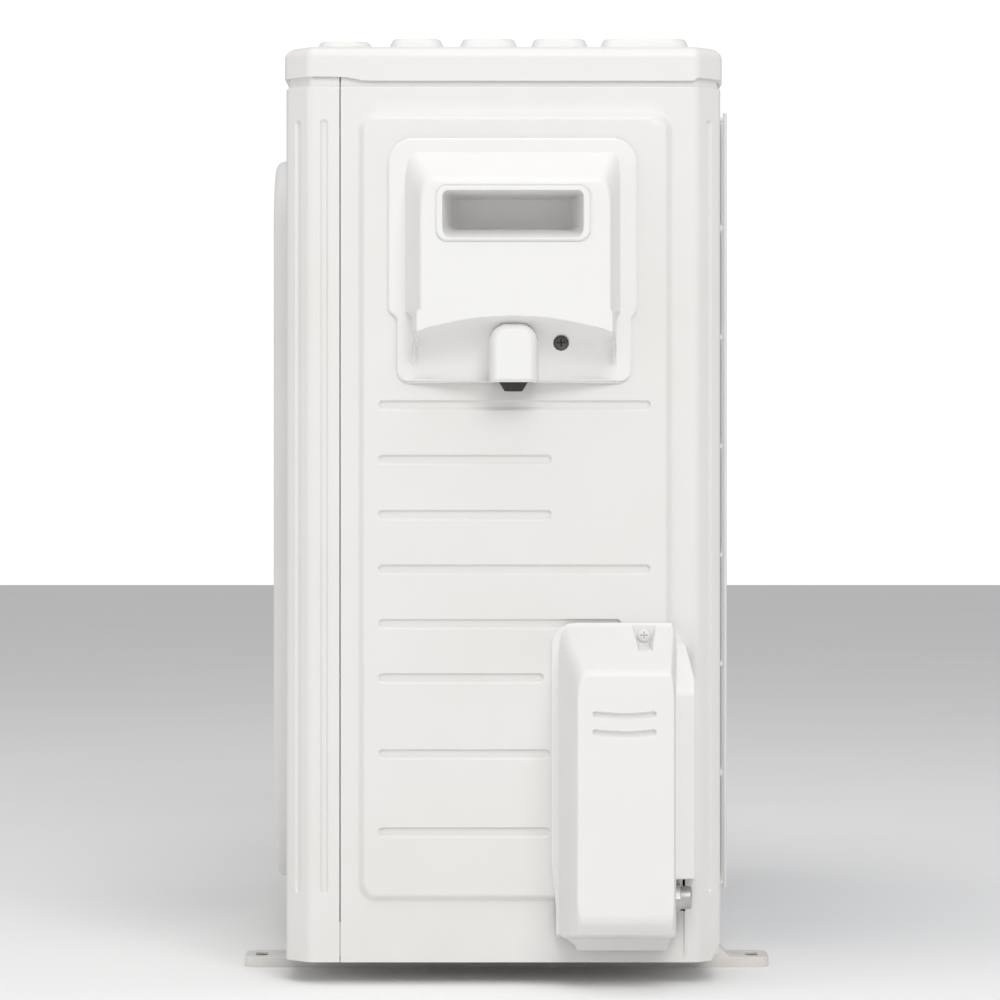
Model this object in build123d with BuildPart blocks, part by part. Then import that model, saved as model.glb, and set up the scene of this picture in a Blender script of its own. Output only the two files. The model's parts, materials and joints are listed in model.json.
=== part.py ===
"""Outdoor unit of a split air conditioner, built piece by piece in millimetres.

+Z is up, the fan guard faces -Y and the service valves face +X.  The origin
lies on the ground plane at the centre of the foot bolt pattern.
"""

import math
import os

from build123d import *

os.makedirs("parts", exist_ok=True)

# casing
HALF_WIDTH = 430.0
FRONT_Y = -157.5
BACK_Y = 152.5
CORNER = 18.0
SHEET = 1.0
PANEL_INSET = 1.0
PANEL_BOTTOM = 15.8
JOGGLE_Z = 634.0
JOGGLE = 2.2
PANEL_TOP = 655.0
SEAM_Y = -117.6
SKIRT_BOTTOM = 636.8
SKIRT_CORNER_BOTTOM = 639.2
COVER_TOP = 661.5
RIB_TOP = 668.0
RIB_SPANS = ((-133.0, -96.7), (-82.0, -46.0), (-32.3, 6.2), (18.2, 56.3), (66.0, 129.0))
RIB_HALF_LENGTH = 421.0

# side plateau and its pressed grooves
PLATEAU_X = 434.0
PLATEAU_Y = (-105.6, 117.0)
PLATEAU_Z = (58.1, 615.3)
PLATEAU_RUN = 6.0
GROOVE_HEIGHT = 7.0
GROOVE_DEPTH = 2.5
GROOVE_START_Y = -90.8
GROOVES = (
    (408.0, 101.4),
    (369.7, 31.7),
    (330.9, 31.7),
    (292.5, 101.4),
    (254.2, 80.6),
    (216.1, 26.4),
    (162.6, 30.8),
    (107.7, 30.8),
)

# feet and base
FOOT_X = 308.0
FOOT_WIDTH = 44.0
FOOT_END_Y = 192.0
FOOT_TOP = 7.5
RAIL_TOP = 20.0
BOLT_Y = 180.0
SLOT_WIDTH = 9.0
SLOT_LENGTH = 22.0
PAN_FLOOR = 21.2

# fan
FAN_X = -115.0
FAN_Z = 328.0
FAN_R = 232.0
HUB_R = 58.0
GUARD_FRONT_Y = -180.8
GUARD_HALF_X = 280.0
GUARD_HALF_Z = 285.5
GUARD_Z = 327.0

# service side
WIRING_FACE_X = 470.0
VALVE_FACE_X = 500.0
VALVE_Y = 92.0
GAS_Z = 63.5
LIQUID_Z = 142.0
WIRING_SCREW = (38.0, 452.0)
VALVE_SCREW = (96.2, 246.5)
SHOULDER_FACE_X = 466.0

# refrigerant circuit
COMPRESSOR_XY = (325.0, 15.0)
COMPRESSOR_R = 62.0
COIL_THICKNESS = 22.0
COIL_CENTRE = ((198.0, 135.0), (-411.0, 135.0), (-411.0, -108.0))
COIL_CORNER_R = 71.0
BEND_HEIGHTS = tuple(range(50, 601, 50))


def block(x, y, z, mode=Mode.ADD):
    """Box given by its three (low, high) spans."""
    centre = ((x[0] + x[1]) / 2, (y[0] + y[1]) / 2, (z[0] + z[1]) / 2)
    with Locations(centre):
        Box(x[1] - x[0], y[1] - y[0], z[1] - z[0], mode=mode)


def rod_x(x, y, z, radius, mode=Mode.ADD):
    """Cylinder along X over the span x."""
    with Locations(Location(((x[0] + x[1]) / 2, y, z), (0, 90, 0))):
        Cylinder(radius, x[1] - x[0], mode=mode)


def rod_y(x, y, z, radius, mode=Mode.ADD):
    """Cylinder along Y over the span y."""
    with Locations(Location((x, (y[0] + y[1]) / 2, z), (90, 0, 0))):
        Cylinder(radius, y[1] - y[0], mode=mode)


def rod_z(x, y, z, radius, mode=Mode.ADD):
    """Cylinder along Z over the span z."""
    with Locations((x, y, (z[0] + z[1]) / 2)):
        Cylinder(radius, z[1] - z[0], mode=mode)


def side_plane(x, y=0.0, z=0.0):
    """Plane facing +X whose local axes are Y and Z."""
    return Plane(origin=(x, y, z), x_dir=(0, 1, 0), z_dir=(1, 0, 0))


def rounded_side(x, y, z, radius):
    """Rounded rectangle over the spans y and z on the plane at x."""
    with BuildSketch(side_plane(x, (y[0] + y[1]) / 2, (z[0] + z[1]) / 2)) as outline:
        RectangleRounded(y[1] - y[0], z[1] - z[0], radius)
    return outline.sketch


def hexagon(plane, length, across_flats):
    """Hexagonal bar that starts on the plane."""
    with BuildSketch(plane) as outline:
        RegularPolygon(across_flats / 2, 6, major_radius=False)
    extrude(outline.sketch, amount=length)


def case_points(inset):
    """Corner points of the casing outline, moved in by the inset."""
    cut = CORNER - 0.586 * inset
    x = HALF_WIDTH - inset
    front = FRONT_Y + inset
    back = BACK_Y - inset
    return (
        (-x, front + cut),
        (-x + cut, front),
        (x - cut, front),
        (x, front + cut),
        (x, back - cut),
        (x - cut, back),
        (-x + cut, back),
        (-x, back - cut),
    )


def case_prism(inset, z, mode=Mode.ADD):
    """Prism of the casing outline over the span z."""
    with BuildSketch(Plane.XY.offset(z[0])) as outline:
        with BuildLine():
            Polyline(*case_points(inset), close=True)
        make_face()
    extrude(outline.sketch, amount=z[1] - z[0], mode=mode)


def case_wall():
    """Casing sheet all the way round, stepped in behind the cover skirt."""
    outer = PANEL_INSET
    case_prism(outer, (PANEL_BOTTOM, JOGGLE_Z))
    case_prism(outer + JOGGLE, (JOGGLE_Z, PANEL_TOP))
    case_prism(outer + SHEET, (PANEL_BOTTOM, JOGGLE_Z - SHEET), mode=Mode.SUBTRACT)
    case_prism(outer + JOGGLE + SHEET, (JOGGLE_Z - SHEET, PANEL_TOP), mode=Mode.SUBTRACT)


def pressed_groove(plane, length, height, depth):
    """Pressed groove in a sheet whose outer face is the plane; it runs along local x."""
    with BuildSketch(plane.offset(-SHEET)) as back:
        SlotOverall(length + 2 * SHEET, height + 2 * SHEET)
    extrude(back.sketch, amount=-depth)
    with BuildSketch(plane) as face:
        SlotOverall(length, height)
    extrude(face.sketch, amount=-depth, mode=Mode.SUBTRACT)


def tube(points, bend, radius, wall):
    """Round tube along straight runs joined by bends."""
    with BuildLine() as path:
        FilletPolyline(*points, radius=bend)
    start = path.line @ 0
    direction = path.line % 0
    with BuildSketch(Plane(origin=start, z_dir=direction)) as ring:
        Circle(radius)
        Circle(radius - wall, mode=Mode.SUBTRACT)
    sweep(ring.sketch, path=path.line)


def make_base_pan():
    """Pressed tray that closes the bottom and carries the machinery."""
    with BuildPart() as base_pan:
        case_prism(2.1, (RAIL_TOP, 44.0))
        case_prism(3.3, (PAN_FLOOR, 44.0), mode=Mode.SUBTRACT)
        rod_z(-60.0, 60.0, (10.0, RAIL_TOP), 14.5)
        rod_z(-60.0, 60.0, (9.0, PAN_FLOOR + 1), 12.5, mode=Mode.SUBTRACT)
        rod_x((-440, -420), -138.0, 40.0, 2.2, mode=Mode.SUBTRACT)
    base_pan.part.label = "base_pan"
    export_step(base_pan.part, "parts/base_pan.step")


def foot_profile(end, top, drop, rail, ramp_y):
    """Side outline of a foot rail: low ears, short ramps and a long high middle."""
    return (
        (-end, drop),
        (-end, top),
        (-ramp_y - rail + top, top),
        (-ramp_y, rail),
        (ramp_y, rail),
        (ramp_y + rail - top, top),
        (end, top),
        (end, drop),
    )


def foot_rail(centre_x):
    """Open channel under the casing with a slotted ear at both ends."""
    half = FOOT_WIDTH / 2
    with BuildSketch(side_plane(centre_x - half)) as profile:
        with BuildLine():
            Polyline(*foot_profile(FOOT_END_Y, FOOT_TOP, 0.0, RAIL_TOP, 150.0), close=True)
        make_face()
    extrude(profile.sketch, amount=FOOT_WIDTH)


def make_foot_rails():
    """Left and right foot rails."""
    with BuildPart() as left_foot_rail:
        foot_rail(-FOOT_X)
        fillet(left_foot_rail.edges().filter_by(Axis.Z).group_by(Axis.Y)[0], 9.0)
        fillet(left_foot_rail.edges().filter_by(Axis.Z).group_by(Axis.Y)[-1], 9.0)
        foot_hollow(-FOOT_X)
    left_foot_rail.part.label = "left_foot_rail"
    export_step(left_foot_rail.part, "parts/left_foot_rail.step")

    with BuildPart() as right_foot_rail:
        foot_rail(FOOT_X)
        fillet(right_foot_rail.edges().filter_by(Axis.Z).group_by(Axis.Y)[0], 9.0)
        fillet(right_foot_rail.edges().filter_by(Axis.Z).group_by(Axis.Y)[-1], 9.0)
        foot_hollow(FOOT_X)
    right_foot_rail.part.label = "right_foot_rail"
    export_step(right_foot_rail.part, "parts/right_foot_rail.step")


def foot_hollow(centre_x):
    """Hollow of the channel and the two bolt slots."""
    half = FOOT_WIDTH / 2 - 2.0
    with BuildSketch(side_plane(centre_x - half)) as profile:
        with BuildLine():
            Polyline(
                *foot_profile(FOOT_END_Y - 4.0, FOOT_TOP - 2.0, -1.0, RAIL_TOP - 2.0, 149.2),
                close=True,
            )
        make_face()
    extrude(profile.sketch, amount=2 * half, mode=Mode.SUBTRACT)
    for y in (-BOLT_Y, BOLT_Y):
        with BuildSketch(Plane.XY.offset(FOOT_TOP - 4.0)) as slot:
            with Locations((centre_x, y)):
                SlotOverall(SLOT_LENGTH, SLOT_WIDTH)
        extrude(slot.sketch, amount=6.0, mode=Mode.SUBTRACT)


def corner_plane(sign_x, sign_y, z):
    """Plane on a corner chamfer of the panels, local x up."""
    inset = PANEL_INSET + CORNER / 2 - 0.3
    x = sign_x * (HALF_WIDTH - inset)
    y = FRONT_Y + inset if sign_y < 0 else BACK_Y - inset
    return Plane(origin=(x, y, z), x_dir=(0, 0, 1), z_dir=(sign_x, sign_y, 0))


def make_front_panel():
    """Front sheet with the fan opening, wrapped round both front corners."""
    with BuildPart() as front_panel:
        case_wall()
        block((-440, 440), (SEAM_Y - 0.5, 160), (0, 700), mode=Mode.SUBTRACT)
        rod_y(FAN_X, (-160, -150), FAN_Z, 250.0, mode=Mode.SUBTRACT)
        for side in (-1, 1):
            pressed_groove(corner_plane(side, -1, 336.6), 546.0, 6.0, 2.0)
            face = Plane(origin=(side * 429.0, -128.9, 335.6), x_dir=(0, 0, 1), z_dir=(side, 0, 0))
            pressed_groove(face, 544.7, 6.0, 2.0)
        for dx in (-1, 1):
            for dz in (-1, 1):
                rod_y(FAN_X + dx * 245.0, (-160, -150), GUARD_Z + dz * 250.0, 2.3, mode=Mode.SUBTRACT)
        rod_x((-440, -420), -138.0, 40.0, 2.1, mode=Mode.SUBTRACT)
        rod_x((-440, -420), -138.0, 622.0, 2.1, mode=Mode.SUBTRACT)
    front_panel.part.label = "front_panel"
    export_step(front_panel.part, "parts/front_panel.step")


def make_fan_shroud():
    """Bell-mouth ring behind the front panel."""
    with BuildPart() as fan_shroud:
        with BuildSketch(Plane.XY):
            with BuildLine():
                Polyline(
                    (262.0, -155.5),
                    (262.0, -154.3),
                    (251.0, -154.3),
                    (244.6, -147.0),
                    (244.6, -95.0),
                    (243.0, -95.0),
                    (243.0, -148.0),
                    (249.8, -155.5),
                    close=True,
                )
            make_face()
        revolve(axis=Axis.Y)
    placed = fan_shroud.part.moved(Location((FAN_X, 0, FAN_Z)))
    placed.label = "fan_shroud"
    export_step(placed, "parts/fan_shroud.step")


def make_fan_guard():
    """Moulded square guard of rings and spokes over the fan."""
    front = Plane(origin=(FAN_X, GUARD_FRONT_Y, GUARD_Z), x_dir=(1, 0, 0), z_dir=(0, -1, 0))
    back = Plane(origin=(FAN_X, FRONT_Y + PANEL_INSET, GUARD_Z), x_dir=(1, 0, 0), z_dir=(0, -1, 0))
    depth = FRONT_Y + PANEL_INSET - GUARD_FRONT_Y
    with BuildPart() as fan_guard:
        with BuildSketch(back):
            RectangleRounded(2 * GUARD_HALF_X, 2 * GUARD_HALF_Z, 60.0)
        extrude(amount=depth, taper=16)
        fillet(fan_guard.faces().sort_by(Axis.Y)[0].edges(), 6.0)
        with BuildSketch(back):
            RectangleRounded(2 * GUARD_HALF_X - 6.0, 2 * GUARD_HALF_Z - 6.0, 57.0)
        extrude(amount=depth - 3.0, taper=16, mode=Mode.SUBTRACT)
        with BuildSketch(front):
            Circle(264.0)
            for step in range(16):
                radius = 251.5 - 12.5 * step
                Circle(radius + 1.6, mode=Mode.SUBTRACT)
                Circle(radius - 1.6)
        extrude(amount=-4.0, mode=Mode.SUBTRACT)
        with BuildSketch(front):
            Circle(54.0)
            for spoke in range(18):
                with Locations(Location((0, 0, 0), (0, 0, 20.0 * spoke))):
                    with Locations((158.0, 0)):
                        Rectangle(215.0, 3.4)
        extrude(amount=-3.0)
        for dx in (-1, 1):
            for dz in (-1, 1):
                x = FAN_X + dx * 245.0
                z = GUARD_Z + dz * 250.0
                rod_y(x, (GUARD_FRONT_Y + 1.5, FRONT_Y + PANEL_INSET), z, 7.5)
                rod_y(x, (GUARD_FRONT_Y - 1, GUARD_FRONT_Y + 3.0), z, 5.2, mode=Mode.SUBTRACT)
                rod_y(x, (GUARD_FRONT_Y, FRONT_Y + 2), z, 2.3, mode=Mode.SUBTRACT)
    fan_guard.part.label = "fan_guard"
    export_step(fan_guard.part, "parts/fan_guard.step")


def make_guard_screws():
    """Four screws that hold the guard on the front panel."""
    with BuildPart() as guard_screws:
        for dx in (-1, 1):
            for dz in (-1, 1):
                x = FAN_X + dx * 245.0
                z = GUARD_Z + dz * 250.0
                rod_y(x, (GUARD_FRONT_Y + 0.5, GUARD_FRONT_Y + 3.0), z, 4.6)
                rod_y(x, (GUARD_FRONT_Y + 3.0, -150.0), z, 2.2)
    guard_screws.part.label = "guard_screws"
    export_step(guard_screws.part, "parts/guard_screws.step")


def cut_rear_corner(x, length):
    """Slanted cut across the lower rear corner of a side panel."""
    with BuildSketch(side_plane(x)) as corner:
        with BuildLine():
            Polyline((144.4, 14.0), (144.4, 15.8), (160.0, 45.0), (160.0, 14.0), close=True)
        make_face()
    extrude(corner.sketch, amount=length, mode=Mode.SUBTRACT)


def make_right_side_panel():
    """Service side sheet: raised plateau, pressed grooves and two windows."""
    width = PLATEAU_Y[1] - PLATEAU_Y[0]
    height = PLATEAU_Z[1] - PLATEAU_Z[0]
    middle_y = (PLATEAU_Y[0] + PLATEAU_Y[1]) / 2
    middle_z = (PLATEAU_Z[0] + PLATEAU_Z[1]) / 2
    rise = PLATEAU_X - (HALF_WIDTH - PANEL_INSET)
    slope = math.degrees(math.atan2(PLATEAU_RUN, rise))
    with BuildPart() as right_side_panel:
        case_wall()
        block((-440, 440), (-170, SEAM_Y + 0.5), (0, 700), mode=Mode.SUBTRACT)
        block((-440, 195), (-170, 160), (0, 700), mode=Mode.SUBTRACT)
        with BuildSketch(side_plane(HALF_WIDTH - PANEL_INSET - SHEET, middle_y, middle_z)):
            RectangleRounded(width, height, 14.0)
        extrude(amount=SHEET)
        with BuildSketch(side_plane(HALF_WIDTH - PANEL_INSET, middle_y, middle_z)):
            RectangleRounded(width, height, 14.0)
        extrude(amount=rise, taper=slope)
        with BuildSketch(side_plane(HALF_WIDTH - PANEL_INSET - SHEET, middle_y, middle_z)):
            RectangleRounded(width - 1.2, height - 1.2, 13.4)
        extrude(amount=rise, taper=slope, mode=Mode.SUBTRACT)
        for z, end_y in GROOVES:
            length = end_y - GROOVE_START_Y
            centre = (end_y + GROOVE_START_Y) / 2
            pressed_groove(side_plane(PLATEAU_X, centre, z), length, GROOVE_HEIGHT, GROOVE_DEPTH)
        pressed_groove(corner_plane(1, 1, 337.6), 548.0, 6.0, 2.0)
        block((420, 440), (-55, 68), (462, 572), mode=Mode.SUBTRACT)
        block((420, 440), (48, 125.5), (34, 215), mode=Mode.SUBTRACT)
        rod_x((420, 440), *WIRING_SCREW, 2.2, mode=Mode.SUBTRACT)
        rod_x((420, 440), *VALVE_SCREW, 2.2, mode=Mode.SUBTRACT)
        cut_rear_corner(180.0, 260.0)
        block((297.4, 302.6), (140, 160), (645.5, 660), mode=Mode.SUBTRACT)
        rod_y(220.0, (140, 160), 70.0, 2.1, mode=Mode.SUBTRACT)
        rod_y(220.0, (140, 160), 610.0, 2.1, mode=Mode.SUBTRACT)
    right_side_panel.part.label = "right_side_panel"
    export_step(right_side_panel.part, "parts/right_side_panel.step")


def make_left_side_panel():
    """Air inlet side sheet with rows of vertical slots."""
    with BuildPart() as left_side_panel:
        case_wall()
        block((-440, 440), (-170, SEAM_Y + 0.5), (0, 700), mode=Mode.SUBTRACT)
        block((-395, 440), (-170, 160), (0, 700), mode=Mode.SUBTRACT)
        pressed_groove(corner_plane(-1, 1, 337.6), 548.0, 6.0, 2.0)
        with BuildSketch(side_plane(-440)):
            for row in range(4):
                for column in range(11):
                    with Locations((-97.0 + 19.4 * column, 122.0 + 124.0 * row)):
                        SlotOverall(108.0, 9.0, rotation=90)
        extrude(amount=20, mode=Mode.SUBTRACT)
        cut_rear_corner(-440.0, 60.0)
        block((-406.6, -401.4), (140, 160), (645.5, 660), mode=Mode.SUBTRACT)
        for y in (-38.0, 48.0):
            rod_x((-432, -420), y, 590.0, 2.1, mode=Mode.SUBTRACT)
    left_side_panel.part.label = "left_side_panel"
    export_step(left_side_panel.part, "parts/left_side_panel.step")


def make_left_handle():
    """Moulded grip on the inlet side, open underneath for the fingers."""
    with BuildPart() as left_handle:
        block((-455, -429), (-55, 65), (572, 618))
        fillet(left_handle.edges().filter_by(Axis.X), 10.0)
        fillet(left_handle.faces().sort_by(Axis.X)[0].edges(), 7.0)
        block((-451.5, -433), (-49, 59), (560, 606), mode=Mode.SUBTRACT)
        for y in (-38.0, 48.0):
            rod_x((-435, -423), y, 590.0, 2.0)
    left_handle.part.label = "left_handle"
    export_step(left_handle.part, "parts/left_handle.step")


def make_rear_guard():
    """Welded wire grid that protects the back of the coil."""
    with BuildPart() as rear_guard:
        for column in range(17):
            rod_z(-403.0 + 38.0 * column, 166.9, (46.0, 637.0), 1.5)
        for row in range(8):
            rod_x((-405.0, 207.0), 164.0, 50.0 + 83.2 * row, 1.5)
        for z in (133.2, 549.2):
            rod_y(203.0, (151.5, 164.0), z, 3.0)
            rod_y(-403.0, (151.5, 164.0), z, 3.0)
    rear_guard.part.label = "rear_guard"
    export_step(rear_guard.part, "parts/rear_guard.step")


def make_top_cover():
    """Lid with a deep skirt and five long pressed ribs."""
    with BuildPart() as top_cover:
        case_prism(0.0, (SKIRT_BOTTOM, COVER_TOP))
        chamfer(top_cover.faces().sort_by(Axis.Z)[-1].edges(), 5.0)
        for low, high in RIB_SPANS:
            with BuildSketch(Plane.XY.offset(COVER_TOP - 0.5)):
                with Locations((0, (low + high) / 2)):
                    RectangleRounded(2 * RIB_HALF_LENGTH, high - low, 8.0)
            extrude(amount=RIB_TOP - COVER_TOP + 0.5, taper=17)
        case_prism(SHEET, (SKIRT_BOTTOM, COVER_TOP - 5.5), mode=Mode.SUBTRACT)
        with BuildSketch(Plane.XY.offset(COVER_TOP - 5.5)):
            with BuildLine():
                Polyline(*case_points(SHEET), close=True)
            make_face()
        extrude(amount=4.5, taper=45, mode=Mode.SUBTRACT)
        for low, high in RIB_SPANS:
            with BuildSketch(Plane.XY.offset(COVER_TOP - 1.5)):
                with Locations((0, (low + high) / 2)):
                    RectangleRounded(2 * RIB_HALF_LENGTH - 2.0, high - low - 2.0, 7.0)
            extrude(amount=RIB_TOP - COVER_TOP + 0.5, taper=17, mode=Mode.SUBTRACT)
        with BuildSketch(side_plane(-440)):
            with BuildLine():
                Polyline(
                    (-160, 636),
                    (-160, SKIRT_CORNER_BOTTOM),
                    (-118, SKIRT_CORNER_BOTTOM),
                    (-102.8, SKIRT_BOTTOM),
                    (-102.8, 636),
                    close=True,
                )
            make_face()
            with BuildLine():
                Polyline(
                    (96, 636),
                    (96, SKIRT_BOTTOM),
                    (113, SKIRT_CORNER_BOTTOM),
                    (156, SKIRT_CORNER_BOTTOM),
                    (156, 636),
                    close=True,
                )
            make_face()
        extrude(amount=880, mode=Mode.SUBTRACT)
        rod_y(300.0, (145, 160), 648.0, 2.2, mode=Mode.SUBTRACT)
        rod_y(-404.0, (145, 160), 648.0, 2.2, mode=Mode.SUBTRACT)
    top_cover.part.label = "top_cover"
    export_step(top_cover.part, "parts/top_cover.step")


def make_top_cover_screws():
    """Two captive screws in the rear skirt; the panels have open slots for them."""
    with BuildPart() as top_cover_screws:
        for x in (300.0, -404.0):
            rod_y(x, (146.0, BACK_Y), 648.0, 2.1)
            rod_y(x, (BACK_Y, BACK_Y + 2.6), 648.0, 4.6)
    top_cover_screws.part.label = "top_cover_screws"
    export_step(top_cover_screws.part, "parts/top_cover_screws.step")


def make_partition_plate():
    """Wall between the fan chamber and the compressor chamber."""
    with BuildPart() as partition_plate:
        block((176.0, 177.2), (-155.5, 121.0), (PAN_FLOOR, 520.0))
        block((176.0, 190.0), (-155.5, -154.3), (60.0, 520.0))
        block((176.0, 192.0), (-150.0, 115.0), (PAN_FLOOR, PAN_FLOOR + 1.2))
        block((176.0, 196.0), (-140.0, 100.0), (518.8, 520.0))
        block((170.0, 200.0), (-156.0, -154.1), (20.0, 45.0), mode=Mode.SUBTRACT)
    partition_plate.part.label = "partition_plate"
    export_step(partition_plate.part, "parts/partition_plate.step")


def make_motor_bracket():
    """Two tall channels with a cross plate for the fan motor."""
    with BuildPart() as motor_bracket:
        for x in (FAN_X - 62.0, FAN_X + 62.0):
            block((x - 14, x + 14), (85.0, 86.5), (PAN_FLOOR, 640.0))
            block((x - 14, x - 12.5), (85.0, 98.0), (PAN_FLOOR, 640.0))
            block((x + 12.5, x + 14), (85.0, 98.0), (PAN_FLOOR, 640.0))
            block((x - 14, x + 14), (85.0, 112.0), (PAN_FLOOR, PAN_FLOOR + 1.5))
            block((x - 14, x + 14), (85.0, 146.0), (638.5, 640.0))
            block((x - 14, x + 14), (122.0, 124.0), (618.0, 640.0))
        block((FAN_X - 76, FAN_X + 76), (85.0, 86.5), (268.0, 388.0))
        for dx in (-62.0, 62.0):
            for dz in (-38.0, 38.0):
                rod_y(FAN_X + dx, (80, 90), FAN_Z + dz, 2.6, mode=Mode.SUBTRACT)
    motor_bracket.part.label = "motor_bracket"
    export_step(motor_bracket.part, "parts/motor_bracket.step")


def make_fan_motor():
    """Round motor with a mounting plate and a bored front bearing."""
    with BuildPart() as fan_motor:
        rod_y(FAN_X, (24.0, 82.0), FAN_Z, 48.0)
        fillet(fan_motor.faces().sort_by(Axis.Y)[0].edges(), 8.0)
        rod_y(FAN_X, (15.0, 26.0), FAN_Z, 18.0)
        block((FAN_X - 76, FAN_X + 76), (82.0, 85.0), (FAN_Z - 50, FAN_Z + 50))
        for dx in (-62.0, 62.0):
            for dz in (-38.0, 38.0):
                rod_y(FAN_X + dx, (80, 90), FAN_Z + dz, 2.6, mode=Mode.SUBTRACT)
        rod_y(FAN_X, (10.0, 34.0), FAN_Z, 4.05, mode=Mode.SUBTRACT)
        block((FAN_X - 9, FAN_X + 9), (50.0, 64.0), (FAN_Z + 44, FAN_Z + 54))
    fan_motor.part.label = "fan_motor"
    export_step(fan_motor.part, "parts/fan_motor.step")


def make_motor_screws():
    """Four screws through the motor plate and the bracket."""
    with BuildPart() as motor_screws:
        for dx in (-62.0, 62.0):
            for dz in (-38.0, 38.0):
                rod_y(FAN_X + dx, (78.5, 82.0), FAN_Z + dz, 5.0)
                rod_y(FAN_X + dx, (82.0, 92.0), FAN_Z + dz, 2.5)
    motor_screws.part.label = "motor_screws"
    export_step(motor_screws.part, "parts/motor_screws.step")


def make_motor_shaft():
    """Fan shaft."""
    with BuildPart() as motor_shaft:
        rod_y(FAN_X, (-108.0, 33.8), FAN_Z, 4.0)
    motor_shaft.part.label = "motor_shaft"
    export_step(motor_shaft.part, "parts/motor_shaft.step")


def blade_section(radius, chord, pitch, sweep_back):
    """Thin rectangle standing on the plane x = radius, tilted by the pitch angle."""
    angle = math.radians(pitch)
    along = (0, math.cos(angle), math.sin(angle))
    with BuildSketch(Plane(origin=(radius, sweep_back, 67.0), x_dir=along, z_dir=(1, 0, 0))) as section:
        Rectangle(chord, 3.0)
    return section.sketch


def make_fan_blade():
    """Three-bladed axial fan with a hollow hub, built round Z and then laid along Y."""
    with BuildPart() as blade:
        root = blade_section(50.0, 92.0, 40.0, 0.0)
        middle = blade_section(140.0, 150.0, 27.0, 4.0)
        tip = blade_section(240.0, 200.0, 19.0, 16.0)
        loft([root, middle, tip])
        with Locations((0, 0, 67.0)):
            Cylinder(FAN_R, 150.0, mode=Mode.INTERSECT)
    with BuildPart() as wheel:
        with PolarLocations(0, 3):
            add(blade.part)
        rod_z(0, 0, (38.0, 96.0), HUB_R)
        rod_z(0, 0, (30.0, 93.0), HUB_R - 3.0, mode=Mode.SUBTRACT)
        rod_z(0, 0, (38.0, 96.0), 11.0)
        for turn in (0, 60, 120):
            with Locations(Location((0, 0, 70.0), (0, 0, turn))):
                Box(2 * HUB_R - 3.0, 2.4, 46.0)
        rod_z(0, 0, (30.0, 100.0), 4.02, mode=Mode.SUBTRACT)
    to_front = Plane(origin=(FAN_X, 0, FAN_Z), x_dir=(1, 0, 0), z_dir=(0, -1, 0)).location
    fan_blade = wheel.part.moved(to_front)
    fan_blade.label = "fan_blade"
    export_step(fan_blade, "parts/fan_blade.step")


def make_fan_nut():
    """Hexagon nut with a washer face on the front end of the shaft."""
    with BuildPart() as fan_nut:
        hexagon(Plane(origin=(FAN_X, -96.0, FAN_Z), x_dir=(1, 0, 0), z_dir=(0, -1, 0)), 9.0, 13.0)
        rod_y(FAN_X, (-97.2, -96.0), FAN_Z, 9.0)
        rod_y(FAN_X, (-110.0, -90.0), FAN_Z, 4.02, mode=Mode.SUBTRACT)
    fan_nut.part.label = "fan_nut"
    export_step(fan_nut.part, "parts/fan_nut.step")


def coil_strip(width, ends, z, mode=Mode.ADD):
    """L-shaped upright strip that follows the coil centre line."""
    start = (COIL_CENTRE[0][0] + ends, COIL_CENTRE[0][1])
    finish = (COIL_CENTRE[2][0], COIL_CENTRE[2][1] - ends)
    with BuildLine() as centre_line:
        FilletPolyline(start, COIL_CENTRE[1], finish, radius=COIL_CORNER_R)
    with BuildSketch(Plane.XY.offset(z[0])) as strip:
        trace(centre_line.line, line_width=width)
    extrude(strip.sketch, amount=z[1] - z[0], mode=mode)


def make_coil_fin_pack():
    """Fin block of the heat exchanger as a thin-walled L, open at both ends."""
    with BuildPart() as coil_fin_pack:
        coil_strip(COIL_THICKNESS, 0.0, (PAN_FLOOR, 632.0))
        coil_strip(COIL_THICKNESS - 1.8, 0.5, (PAN_FLOOR + 2.0, 630.0), mode=Mode.SUBTRACT)
    coil_fin_pack.part.label = "coil_fin_pack"
    export_step(coil_fin_pack.part, "parts/coil_fin_pack.step")


def make_coil_end_plates():
    """Tube plates on the two ends of the coil."""
    x_end = COIL_CENTRE[0][0]
    y_end = COIL_CENTRE[2][1]
    with BuildPart() as coil_end_plates:
        block((x_end, x_end + 1.2), (122.0, 148.0), (PAN_FLOOR, 634.0))
        block((-424.0, -398.0), (y_end - 1.2, y_end), (PAN_FLOOR, 634.0))
        for centre in BEND_HEIGHTS:
            for z in (centre - 12.5, centre + 12.5):
                rod_x((x_end - 1, x_end + 3), 135.0, z, 4.9, mode=Mode.SUBTRACT)
                rod_y(-411.0, (y_end - 3, y_end + 1), z, 4.9, mode=Mode.SUBTRACT)
    coil_end_plates.part.label = "coil_end_plates"
    export_step(coil_end_plates.part, "parts/coil_end_plates.step")


def make_coil_return_bends():
    """U-shaped tube ends that stick out of the tube plates."""
    x_end = COIL_CENTRE[0][0] + 1.2
    y_end = COIL_CENTRE[2][1] - 1.2
    with BuildPart() as coil_return_bends:
        for z in BEND_HEIGHTS:
            with BuildSketch(Plane(origin=(x_end, 135.0, z + 12.5), z_dir=(1, 0, 0))):
                Circle(4.75)
            axis = Axis((x_end, 135.0, z), (0, 1, 0))
            revolve(axis=axis, revolution_arc=180)
            with BuildSketch(Plane(origin=(-411.0, y_end, z + 12.5), z_dir=(0, -1, 0))):
                Circle(4.75)
            axis = Axis((-411.0, y_end, z), (1, 0, 0))
            revolve(axis=axis, revolution_arc=180)
            for level in (z - 12.5, z + 12.5):
                rod_x((x_end - 8, x_end), 135.0, level, 4.75)
                rod_y(-411.0, (y_end, y_end + 8), level, 4.75)
    coil_return_bends.part.label = "coil_return_bends"
    export_step(coil_return_bends.part, "parts/coil_return_bends.step")


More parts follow.
